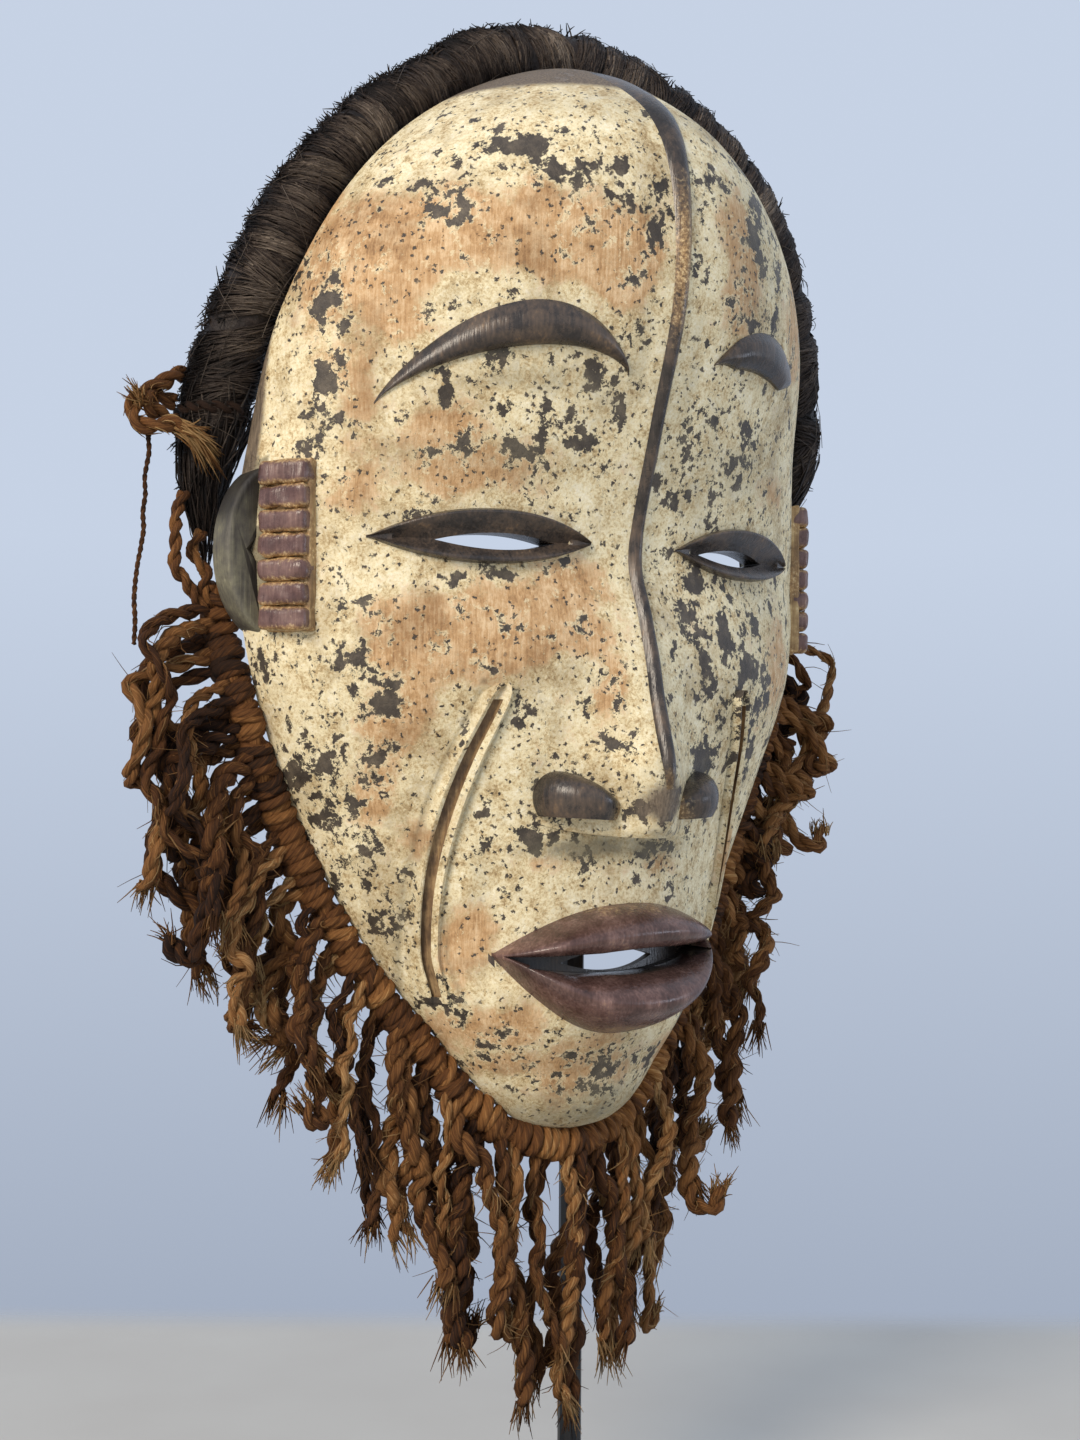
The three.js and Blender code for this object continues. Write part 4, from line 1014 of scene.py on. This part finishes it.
# Hair roll: a core of bound fibre with thousands of strands laid across it in clumps. Angles go round
# the roll from its crest, in degrees, and each thin list is a strand's thickness from root to tip.
roll = {
    "radius": 12.4, "core": 0.84, "taperLength": 0.11, "taperShare": 0.3,
    "seat": [(20, 12.8, 5), (45, 12.9, 5), (62, 14.8, 4), (75, 14.6, 5.4), (84, 12, 9.4), (90, 9.2, 12.2),
             (96, 6.4, 13.6), (105, 3.8, 13.7), (125, 4.3, 13.5), (140, 4.4, 13.4), (160, 7, 12.6)],
    "run": (22, 158, 8), "ends": [(116, 17, 212), (114, 19.5, 196)], "steps": 200,
    "clumps": 44, "clumpRun": (0.075, 0.925), "tangleFrom": (0.26, 0.4), "strandsInClump": 108,
    "strandRadius": 0.42, "sink": 1.9, "shade": [-0.28, -0.06, 0.03, 0, -0.2, -0.42],
    "thin": [0.9, 1, 1, 1, 0.85, 0.4], "frontShare": 0.68, "frontRoot": (146, 9), "backRoot": (-150, 12),
    "endSpread": 12, "slant": (3, 5, 9), "shift": (1.3, 3.2), "overlap": 0.62, "heap": 1.5,
    "tipLift": (-4, 8), "strandThick": (0.6, 1.25), "clumpTone": (-0.02, 0.4),
    "crest": 1500, "crestLength": (0.8, 4.2), "crestThin": [0.352, 0.32, 0.256, 0.112],
    "crestAngle": (-10, 20), "crestLean": 30, "crestDrift": 3.5, "crestRoot": 2.6,
    "tail": 420, "tailRun": (0.89, 0.97), "tailLength": (12, 34), "tailRadius": 0.4,
    "tailThin": [0.5, 1, 1, 0.9, 0.7, 0.3], "loose": 130, "looseRadius": 0.13,
}


def routeWithEnds(points, ends, count):
    left = [tuple(p) for p in reversed(ends)]
    right = [(-x, y, z) for x, y, z in ends]
    return smoothRoute(left + [tuple(p) for p in points] + right, count)


def rollRoute(count):
    first, last, step = roll["run"]
    angles = np.arange(first, last + 0.1, step)
    outward, back = [along([(row[0], row[k]) for row in roll["seat"]], angles) for k in (1, 2)]
    return routeWithEnds(besideRim(angles, outward, back), roll["ends"], count)


def rollRadius(t):
    fromEnd = np.minimum(np.minimum(t, 1 - t) / roll["taperLength"], 1)
    return roll["radius"] * (roll["taperShare"] + (1 - roll["taperShare"]) * np.sin(np.pi / 2 * fromEnd))


def makeRoll():
    random = np.random.default_rng(11)
    centre = rollRoute(roll["steps"])
    ahead = unit(np.gradient(centre, axis=0))
    away = unit((centre - (0, 0, widestHeight)) * (1, 0, 1))
    away = unit(away - ahead * np.sum(away * ahead, -1, keepdims=True))
    front = np.cross(ahead, away)
    front *= -np.sign(front[:, 1:2])
    places = np.linspace(0, 1, roll["steps"])
    coreTube = sweep(centre[None], rollRadius(places) * roll["core"], 24)
    lengthOfRoll = np.sum(stepLengths(centre))

    def radiusAt(at):
        return np.interp(at, places, rollRadius(places))

    # Points at places along the roll, at an angle round it, at a distance from its middle.
    def onRoll(at, angle, reach):
        index = np.clip(at, 0, 1) * (roll["steps"] - 1)
        c, o, f = [pointsAt(index, np.arange(roll["steps"]), line) for line in (centre, away, front)]
        past = (np.maximum(at - 1, 0) - np.maximum(-at, 0))[..., None] * lengthOfRoll
        c = c + past * np.where(at[..., None] > 0.5, ahead[-1], ahead[0])
        return c + reach[..., None] * (np.cos(angle)[..., None] * o + np.sin(angle)[..., None] * f)

    paths, strandRadii, tones = [], [], []
    n, share = roll["strandsInClump"], np.linspace(0, 1, len(roll["thin"]))
    low, high = roll["clumpRun"]
    pitch = (high - low) / roll["clumps"]
    for clump in range(roll["clumps"]):
        middle = low + pitch * (clump + 0.5) + random.normal(0, 0.0025)
        tangle = smoothStep(*roll["tangleFrom"], abs(middle - 0.5))
        mean, spread, more = roll["slant"]
        slant = random.normal(mean, spread + more * tangle)
        clumpTone = random.uniform(*roll["clumpTone"]) - 0.1 * tangle
        inClump = random.uniform(-1, 1, n)
        isFront = random.random(n) < roll["frontShare"]
        first = np.where(isFront, random.normal(*roll["frontRoot"], n), random.normal(*roll["backRoot"], n))
        last = random.normal(0, roll["endSpread"], n)
        angle = np.radians(first[:, None] + (last - first)[:, None] * share)
        spread, more = roll["shift"]
        shift = (slant + random.normal(0, spread + more * tangle, n))[:, None] * (share - 0.4) / lengthOfRoll
        at = middle + roll["overlap"] * pitch * inClump[:, None] * (1.15 - 0.4 * share) + shift
        heap = roll["heap"] * (1 - inClump ** 2) + random.uniform(-0.3, 0.25, n) + random.uniform(-0.5, 0.5)
        reach = radiusAt(at) - roll["sink"] + heap[:, None]
        reach = reach + np.maximum(share - 0.82, 0) * random.uniform(*roll["tipLift"], n)[:, None]
        paths.append(onRoll(at, angle, reach + random.normal(0, 0.07 + 0.3 * tangle, reach.shape)))
        thick = roll["strandRadius"] * random.uniform(*roll["strandThick"], n)[:, None]
        strandRadii.append(thick * np.array(roll["thin"]))
        # Random tone per strand, with the strands at a clump's edges darker: painted shade between the
        # clumps.
        strandToneAndShade = clumpTone + random.normal(0, 0.1, n) - 0.25 * np.abs(inClump) ** 3
        tones.append((strandToneAndShade[:, None] + np.array(roll["shade"])).ravel())
    paths = np.concatenate(paths)
    tubes = sweep(paths, np.concatenate(strandRadii), 3)
    # Cut ends that stand up raggedly along the crest.
    n, share = roll["crest"], np.linspace(0, 1, len(roll["crestThin"]))
    at = (random.random(n) + 0.02 * random.normal(0, 1, n)) * 0.9 + 0.05
    angle = np.radians(random.normal(*roll["crestAngle"], n))
    lean = np.radians(random.normal(0, roll["crestLean"], n))
    drift = random.normal(0, roll["crestDrift"], n) / lengthOfRoll
    reach = random.uniform(*roll["crestLength"], n) * (0.4 + 0.6 * np.sin(at * 90 + 4 * np.sin(at * 23)) ** 2)
    cut = onRoll(at[:, None] + drift[:, None] * share, angle[:, None] + lean[:, None] * share * 0.6,
                 (radiusAt(at) - roll["crestRoot"])[:, None] + (reach + 1.2)[:, None] * share)
    cutTubes = sweep(cut, roll["crestThin"], 3)
    parts = [(tubes, np.concatenate(tones)), (cutTubes, random.normal(-0.12, 0.15, n))]
    strands = strandPiece("hair_roll_strands", parts, darkRaffia)
    # Matted ends that run down past the last binding and draw in to a point.
    n, share = roll["tail"], np.linspace(0, 1, len(roll["tailThin"]))
    at = random.uniform(*roll["tailRun"], n)[:, None]
    at = at + random.uniform(*roll["tailLength"], n)[:, None] * share / lengthOfRoll
    at = np.where((np.arange(n) % 2 == 0)[:, None], at, 1 - at)
    angle = random.uniform(0, 6.3, n)[:, None] + random.normal(0, 0.5, n)[:, None] * share
    reach = radiusAt(at) * random.uniform(0.8, 1.04, n)[:, None]
    reach = reach - 4 * np.clip(np.abs(at - 0.5) - 0.5, 0, 1) * lengthOfRoll / 12
    ends = onRoll(at, angle, np.maximum(reach + random.normal(0, 0.25, reach.shape), 0.3))
    endTubes = sweep(ends, roll["tailRadius"] * random.uniform(0.6, 1.3, n)[:, None]
                     * np.array(roll["tailThin"]), 3)
    endTones = random.normal(-0.02, 0.14, n)
    # Long loose fibres that wander over the roll.
    n, share = roll["loose"], np.linspace(0, 1, 8)
    at = random.uniform(0.04, 0.96, n)[:, None] + random.normal(0, 14, n)[:, None] * share / lengthOfRoll
    turn = random.uniform(20, 160, n)[:, None] + random.normal(0, 60, n)[:, None] * share
    lift = radiusAt(at) + 0.25 + random.uniform(0, 1.2, n)[:, None] * share ** 2
    loose = onRoll(at, np.radians(turn), lift + random.normal(0, 0.12, lift.shape))
    core = strandPiece("hair_roll_core", [(coreTube, [-0.1]), (endTubes, endTones),
                                          (sweep(loose, roll["looseRadius"], 3),
                                           random.uniform(0.1, 0.5, n))], darkRaffia)
    for piece in (core, strands):
        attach(piece, "root")
        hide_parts("hair_roll")
    print("mask: roll made, strands", len(paths) + len(cut) + len(ends) + n)


makeRoll()

header = {
    "radius": 4.5, "seat": 4.9, "run": (-26, -154, -8), "back": 1.5, "steps": 260, "plyRadius": 2.3,
    "pitch": 16, "ends": [(113, 10.5, 164), (114, 11, 180)], "tones": [0.1, 0.2, 0.15],
    # Cords that tie the rope's ends up to the roll's.
    "links": [[(-124, 15, 209), (-126, 11.5, 203), (-129, 10, 196), (-127.5, 9, 190), (-130, 10, 185),
               (-126, 9.5, 179), (-119, 10, 173), (-113, 10, 168)],
              [(-117, 15.5, 197), (-120, 12, 190), (-117.5, 11, 183), (-119, 10.5, 177), (-113, 11, 171)]],
    "linkRadius": 1.25,
}


def headerRoute(count):
    first, last, step = header["run"]
    angles = np.arange(first, last - 0.1, step)
    return routeWithEnds(besideRim(angles, header["seat"], header["back"]), header["ends"], count)


# Beard cords by their place: 0 at the chin, 100 behind the ear.
beard = {
    "perSide": 46, "radius": 1.6, "twist": 1.32, "pitch": 14, "sides": 6, "steps": 72, "share": 0.49,
    "thickness": (0.68, 1.28),
    "tipHeight": [(0, -86), (15, -62), (30, -30), (50, 16), (68, 50), (90, 82), (100, 92)],
    "swing": [(0, 1), (30, 5), (50, 9), (68, 15), (84, 21), (100, 29)],
    "comeBack": [(0, 0), (50, 4), (80, 12), (100, 15)],
    # On the mask's left the upper cords are shorter and keep closer to the wood.
    "leftRise": [(0, 0), (40, 2), (58, 16), (72, 36), (85, 34), (100, 26)], "leftSwing": 0.72,
    "drift": [(0, 1.7), (50, 1.9), (100, 1.7)], "unevenness": 8, "hooked": 0.3, "curl": 8,
    "curlRadius": [(0, 0.8), (40, 1.4), (62, 3), (80, 5), (100, 5.5)], "curls": (0.7, 2.1),
    "knotRadius": 4.0, "knotThick": (1.5, 2.1),
    "turns": 11, "leave": 4, "rowStep": 4.5, "pitchSpread": (0.85, 1.35), "bulge": (0.14, 0.06),
    "brush": 36, "brushLength": (4, 10), "fuzz": 54, "hairs": 4, "hairLength": (4, 12),
    "fuzzThin": [0.27, 0.27, 0.24, 0.2, 0.1], "hairThin": [0.17, 0.17, 0.15, 0.12, 0.07],
}


def placeOnHeader(place, side):
    return 0.5 - side * beard["share"] * place / 100


def cordRoute(random, place, side, row, headerLine):
    start = pointsAt(placeOnHeader(place, side), np.linspace(0, 1, len(headerLine)), headerLine)
    out = along(beard["swing"], place) * random.uniform(0.5, 1.15) * (beard["leftSwing"] if side > 0 else 1)
    away = unit(np.array([start[0], 0, start[2] - widestHeight]))
    leave = unit(away + (0, 0.5 * row, 0))
    begin = start + leave * (header["radius"] - 0.5)
    tip = along(beard["tipHeight"], place) + random.normal(0, beard["unevenness"])
    tip = tip + (along(beard["leftRise"], place) if side > 0 else 0)
    top = begin + leave * beard["leave"] + (side * out * 0.5, row * 1.5, -4)
    points = [begin, top]
    hang = np.array([begin[0] + side * out, begin[1] + row * beard["rowStep"] + random.normal(0, 1.5)])
    wander, count = np.zeros(2), beard["turns"]
    turn, loops = random.uniform(0, 6.3), random.uniform(*beard["curls"]) * random.choice([-1, 1])
    for i in range(1, count + 1):
        share = i / count
        wander = wander + random.normal(0, along(beard["drift"], place), 2) * (1, 0.7)
        back = side * along(beard["comeBack"], place) * share ** 2
        curl = along(beard["curlRadius"], place) * min(1, 2.5 * share)
        turned = turn + 2 * math.pi * loops * share
        coil = curl * np.array([math.cos(turned), 0.7 * math.sin(turned), 0.9 * math.sin(turned + 0.9)])
        points.append(coil + (hang[0] + wander[0] - back, hang[1] + wander[1],
                              top[2] + (tip - top[2]) * share))
    if random.random() < beard["hooked"]:
        way = random.choice([-1, 1])
        points.append(points[-1] + (way * beard["curl"] * 0.6, random.normal(0, 2), -1))
        points.append(points[-1] + (way * beard["curl"] * 0.3, random.normal(0, 2), beard["curl"] * 0.8))
    return smoothRoute(points, beard["steps"])


# Two loops of a cord's own thickness that tie it to the header rope.
def tieKnot(random, centre, ahead):
    across = unit(np.cross(ahead, (0.1, 1, 0)))
    up = np.cross(ahead, across)
    turn = np.linspace(0, 2 * np.pi, 15)[:, None]
    rings = []
    for shift in (-1.6, 1.6):
        lean, size = random.normal(0, 1.1), beard["knotRadius"] * random.uniform(0.88, 1.12)
        middle = centre + (shift + random.normal(0, 0.4)) * ahead + random.normal(0, 0.5, 3)
        rings.append(middle + lean * np.sin(turn + random.uniform(0, 6)) * ahead
                     + size * (np.cos(turn) * across + np.sin(turn) * up))
    return rings


def makeBeard():
    random = np.random.default_rng(23)
    headerLine = headerRoute(header["steps"])
    headerAhead = unit(np.gradient(headerLine, axis=0))
    lines = plies(headerLine, 3, header["plyRadius"] * 0.95, header["pitch"])
    knots, knotTones, knotRadii = [], [], []
    steps, share = beard["steps"], np.linspace(0, 1, 5)[:, None]
    for side, name in ((-1, "right"), (1, "left")):
        cords, cordRadii, tones, tufts, tuftTones, hairs, hairTones = [], [], [], [], [], [], []
        for i in range(beard["perSide"]):
            place = 100 * (i + 0.5) / beard["perSide"]
            route = cordRoute(random, place, side, (-1, 1, 0, 1, -1)[i % 5], headerLine)
            tone = random.uniform(-0.1, 0.45) - 0.14 * smoothStep(60, 90, place)
            thick = random.uniform(*beard["thickness"])
            run = np.linspace(0, 1, steps)
            # The plies stand apart at the cut end, and here and there on the way.
            loose = 1 + 0.18 * np.sin(run * 11 + random.uniform(0, 6)) + 0.5 * smoothStep(0.93, 1, run)
            pitch = beard["pitch"] * random.uniform(*beard["pitchSpread"])
            pair = plies(route, 2, beard["twist"] * thick * loose, pitch, random.uniform(0, 6))
            wave, rough = beard["bulge"]
            bulge = 1 + wave * np.sin(run * 14 + random.uniform(0, 6)) + random.normal(0, rough, steps)
            cords.append(pair)
            cordRadii += [beard["radius"] * thick * bulge] * 2
            tones += [tone, tone + random.normal(0, 0.08)]
            # Loose fibres that lie along the plies and lift off them.
            (out,), (up,) = framesAlong(route[None])
            for k in range(beard["fuzz"]):
                j, ply = random.integers(2, steps - 8), random.integers(0, 2)
                fibre = np.linspace(j, min(j + random.integers(4, 9), steps - 1), 5)
                core = pointsAt(fibre, np.arange(steps), pair[ply])
                spin = random.uniform(0, 6.3) + share * random.normal(0.9, 0.4)
                lift = (np.cos(spin) * out[j] + np.sin(spin) * up[j]) * beard["radius"] * thick
                rise = random.uniform(0, 1.9) ** 2
                tufts.append(core + lift * (0.95 + rise * share ** 3) + random.normal(0, 0.1, (5, 3)))
                tuftTones.append(tone + random.uniform(0, 0.5))
            ahead = unit(route[-1] - route[-4])
            for k in range(beard["brush"]):
                reach = random.uniform(*beard["brushLength"])
                root = pair[k % 2][-1] - ahead * 2 + random.normal(0, 0.8, 3)
                way = unit(ahead + random.normal(0, 0.22, 3))
                sag = random.normal(0, 0.16, 3) + (0, 0, -0.22)
                tufts.append(root + reach * (share * way + share ** 2.2 * sag))
                tuftTones.append(tone + random.normal(0.28, 0.15))
            for k in range(beard["hairs"]):
                root = route[random.integers(6, steps - 4)]
                drift = unit(random.normal(0, 1, 3) + (side * 0.4, -0.2, -0.5))
                reach = random.uniform(*beard["hairLength"])
                hairs.append(root + reach * share * drift + share ** 2 * random.normal(0, 4, 3))
                hairTones.append(tone + 0.2)
            knotAt = placeOnHeader(place, side) * (header["steps"] - 1)
            centre = pointsAt(knotAt, np.arange(header["steps"]), headerLine)
            knots += tieKnot(random, centre, unit(headerAhead[int(knotAt)]))
            knotTones += [random.uniform(-0.05, 0.45) - 0.2 * smoothStep(55, 80, place)] * 2
            knotRadii += [[random.uniform(*beard["knotThick"])]] * 2
        parts = [(sweep(np.concatenate(cords), cordRadii, beard["sides"]), tones),
                 (sweep(tufts, beard["fuzzThin"], 3), tuftTones),
                 (sweep(hairs, beard["hairThin"], 3), hairTones)]
        piece = strandPiece("beard_" + name, parts, brownCord)
        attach(piece, "root")
        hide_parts(*["beard_cord_%s_%02d" % (name, k + 1) for k in range(18)])
        print("mask: beard side made, faces", len(piece.data.polygons))
    links = []
    for link in header["links"]:
        for side in (-1, 1):
            route = smoothRoute(np.array(link) * (-side, 1, 1) + random.normal(0, 0.7, (len(link), 3)), 70)
            links.append(plies(route, 2, random.uniform(0.9, 1.2), random.uniform(8, 14)))
    links = np.concatenate(links)
    linkTubes = sweep(links, header["linkRadius"] * random.normal(1, 0.07, links.shape[:2]), 8)
    parts = [(sweep(lines, header["plyRadius"], 8), header["tones"]), (sweep(knots, knotRadii, 8), knotTones),
             (linkTubes, random.uniform(0.05, 0.4, len(links)))]
    piece = strandPiece("header_rope_knotted", parts, goldenRope)
    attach(piece, "root")
    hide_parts("header_rope")


makeBeard()

tie = {
    "radius": 1.45, "twist": 1.35, "pitch": 15, "steps": 80,
    # From behind the roll out to the knot, and its loop back to the front.
    "over": [(-111, 27, 242), (-118, 23, 245.5), (-124.2, 17, 246), (-129.9, 14, 243.1), (-134.8, 13, 240.5),
             (-138.7, 11, 236.8), (-137.6, 10, 233), (-132, 12, 232)],
    "loop": [(-127, 15, 236.5), (-134, 16.5, 238.4), (-140.3, 14, 236.6), (-142.5, 12, 232.2),
             (-142, 10, 228.6), (-139.7, 8.5, 227.1), (-135.8, 7, 227.6), (-131.1, 7, 228.3),
             (-128.1, 7.2, 227.2)],
    # A band round the roll, at a share of the roll's length.
    "band": {"at": 0.924, "reach": 10.8, "turns": (-110, 131, 20), "climb": 2.2, "radius": 1.1, "pitch": 9},
    "drop": {"route": [(-138.6, 9.4, 228.2), (-138, 10.6, 227), (-137.2, 12, 225.6), (-137, 12.5, 223.8)],
             "twist": 0.35, "pitch": 3, "radius": 0.6},
    # The rope is rust brown and its band dark, and its untwisted ends are golden.
    "tones": [0.15, 0.2, 0.15, 0.2, -0.4, -0.35, -0.1, -0.15],
    "brushFrom": (-130, 7.2, 228), "brushTo": (-118.3, 4.6, 218.5), "brush": 150, "fan": (1.3, 1.0, 3.2),
    "head": (-140, 9, 234.5), "headWay": (-0.72, -0.2, 0.66), "headFibres": 70, "fuzz": 160,
    "thin": [0.26, 0.27, 0.26, 0.24, 0.2, 0.1],
}


def makeTie():
    random = np.random.default_rng(31)
    around, drop, steps = tie["band"], tie["drop"], tie["steps"]
    centre = rollRoute(roll["steps"])
    i = int(around["at"] * (roll["steps"] - 1))
    middle, ahead = centre[i], unit(centre[i + 1] - centre[i - 1])
    outward = unit(np.array([-1.0, 0, 0]) + ahead * ahead[0])
    sideways = np.cross(ahead, outward)
    turn = np.radians(np.arange(*around["turns"]))[:, None]
    ring = middle + around["reach"] * (np.cos(turn) * outward + np.sin(turn) * sideways)
    ropes = np.concatenate([plies(smoothRoute(route, steps), 2, twist, pitch) for route, twist, pitch in (
        (tie["over"], tie["twist"], tie["pitch"]), (tie["loop"], tie["twist"], tie["pitch"]),
        (ring + ahead * turn * around["climb"], around["radius"], around["pitch"]),
        (drop["route"], drop["twist"], drop["pitch"]))])
    radii = np.repeat([tie["radius"], tie["radius"], around["radius"], drop["radius"]], 2)[:, None]
    share = np.linspace(0, 1, 6)[:, None]
    fibres, tones = [], []
    root, tip = np.array(tie["brushFrom"]), np.array(tie["brushTo"])
    for k in range(tie["brush"]):
        reach = random.uniform(0.55, 1.15)
        fan = random.normal(0, 1, 3) * tie["fan"]
        fibres.append(root + random.normal(0, 0.9, 3) + reach * share * (tip - root) + share ** 1.5 * fan
                      + np.sin(np.pi * share) * (0, -1.6, 0.6))
        tones.append(random.uniform(0.3, 0.85))
    for k in range(tie["headFibres"]):
        reach = random.uniform(3, 8)
        drift = unit(np.array(tie["headWay"]) + random.normal(0, 0.35, 3))
        fibres.append(np.array(tie["head"]) + random.normal(0, 1.2, 3) + reach * share * drift
                      + share ** 2 * random.normal(0, 0.8, 3))
        tones.append(random.uniform(0.2, 0.8))
    # Loose fibres along the rope.
    for k in range(tie["fuzz"]):
        line, j = ropes[random.integers(0, 4)], random.integers(0, steps - 12)
        lift = unit(random.normal(0, 1, 3)) * tie["radius"]
        fibres.append(line[j:j + 12:2] + lift * (0.95 + random.uniform(0, 1.2) ** 2 * share ** 3))
        tones.append(random.uniform(0.2, 0.8))
    piece = strandPiece("tie_cord_knotted", [(sweep(ropes, radii, 8), tie["tones"]),
                                             (sweep(fibres, tie["thin"], 3), tones)], goldenRope)
    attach(piece, "root")
    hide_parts("tie_cord")
    print("mask: tie made")


makeTie()


# Satin black paint on steel: almost even, with a faint orange-peel ripple.
def satinBlackPaint():
    material, tree = newMaterial("satinBlackPaint")
    place = objectPlace(tree)
    cloud = noise(tree, place, 40, 4)
    finishMaterial(tree, ramp(tree, cloud, [(0.3, "#131518"), (0.7, "#22262A")]),
                   remap(tree, cloud, 0, 1, 0.28, 0.42),
                   Normal=bumped(tree, noise(tree, place, 900, 2), 0.15, 0.0002))
    return material


steelFinish = satinBlackPaint()
for nodeName in ("stand_rod", "stand_foot"):
    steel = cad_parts[nodeName]
    steel.data.materials.clear()
    steel.data.materials.append(steelFinish)

# Each light is its name, place, size, power and tint.
studio = {
    "table": ("#BEBAB2", "#C3C0B8"), "sky": "#CDD9EC", "lowSky": "#A8B3C6", "skyStrength": 0.93,
    "backEdge": (185.6, 288.5), "wide": 4000, "deep": 3000, "softEdge": 55, "aim": (0, -20, 330),
    "lights": [("key", (-2150, -900, 1400), 900, 52, "#FFF0DC"),
               ("fill", (300, -2300, 900), 1500, 2, "#FFF1DE"),
               ("glint", (890, -820, 300), 300, 1.4, "#E6EEFF")],
}


def makeTable():
    yaw = math.radians(cameraView["yaw"])
    right, ahead = np.array([math.cos(yaw), -math.sin(yaw), 0]), np.array([math.sin(yaw), math.cos(yaw), 0])
    edge = np.array([*studio["backEdge"], 0.0])
    material, tree = newMaterial("paleTable")
    place = objectPlace(tree)
    tone = ramp(tree, noise(tree, place, 9, 6), list(zip((0.35, 0.65), studio["table"])))
    # The table fades out over its last few centimetres, as it does out of focus.
    reach = addNode(tree, "VectorMath", {"operation": "DOT_PRODUCT"}, {0: place, 1: tuple(ahead)})
    end = float(edge @ ahead) / 1000
    fade = remap(tree, reach.outputs["Value"], end, end - studio["softEdge"] / 1000, way="SMOOTHSTEP")
    finishMaterial(tree, tone, 0.65, Alpha=fade)
    floor = addNew(bpy.ops.mesh.primitive_plane_add, size=1)
    floor.name = "table"
    square = pointsOf(floor)
    movePoints(floor, (edge + square[:, :1] * studio["wide"] * right
                       + (square[:, 1:2] - 0.5) * studio["deep"] * ahead) / 1000)
    floor.data.materials.append(material)


def makeSky():
    world = bpy.data.worlds.new("paleSky")
    world.use_nodes = True
    tree = world.node_tree
    # The wall behind is a little darker towards the table.
    way = addNode(tree, "TexCoord", {}, {}).outputs["Generated"]
    height = addNode(tree, "SeparateXYZ", {}, {"Vector": way}).outputs["Z"]
    tone = ramp(tree, remap(tree, height, -0.26, 0.1), [(0, studio["lowSky"]), (1, studio["sky"])])
    sky = tree.nodes["Background"]
    tree.links.new(tone.outputs["Color"], sky.inputs["Color"])
    sky.inputs["Strength"].default_value = studio["skyStrength"]
    bpy.context.scene.world = world


def makeLights():
    for name, spot, size, power, tint in studio["lights"]:
        bpy.ops.object.light_add(type="AREA", location=Vector(spot) / 1000)
        light = bpy.context.object
        light.name = name
        light.data.size = size / 1000
        light.data.energy = power
        light.data.color = colour(tint)[:3]
        aim = Vector(studio["aim"]) / 1000 - light.location
        light.rotation_euler = aim.to_track_quat("-Z", "Y").to_euler()
    bpy.context.scene.view_settings.view_transform = "Standard"


makeTable()
makeSky()
makeLights()
bpy.ops.object.select_all(action="DESELECT")
print("mask: done")
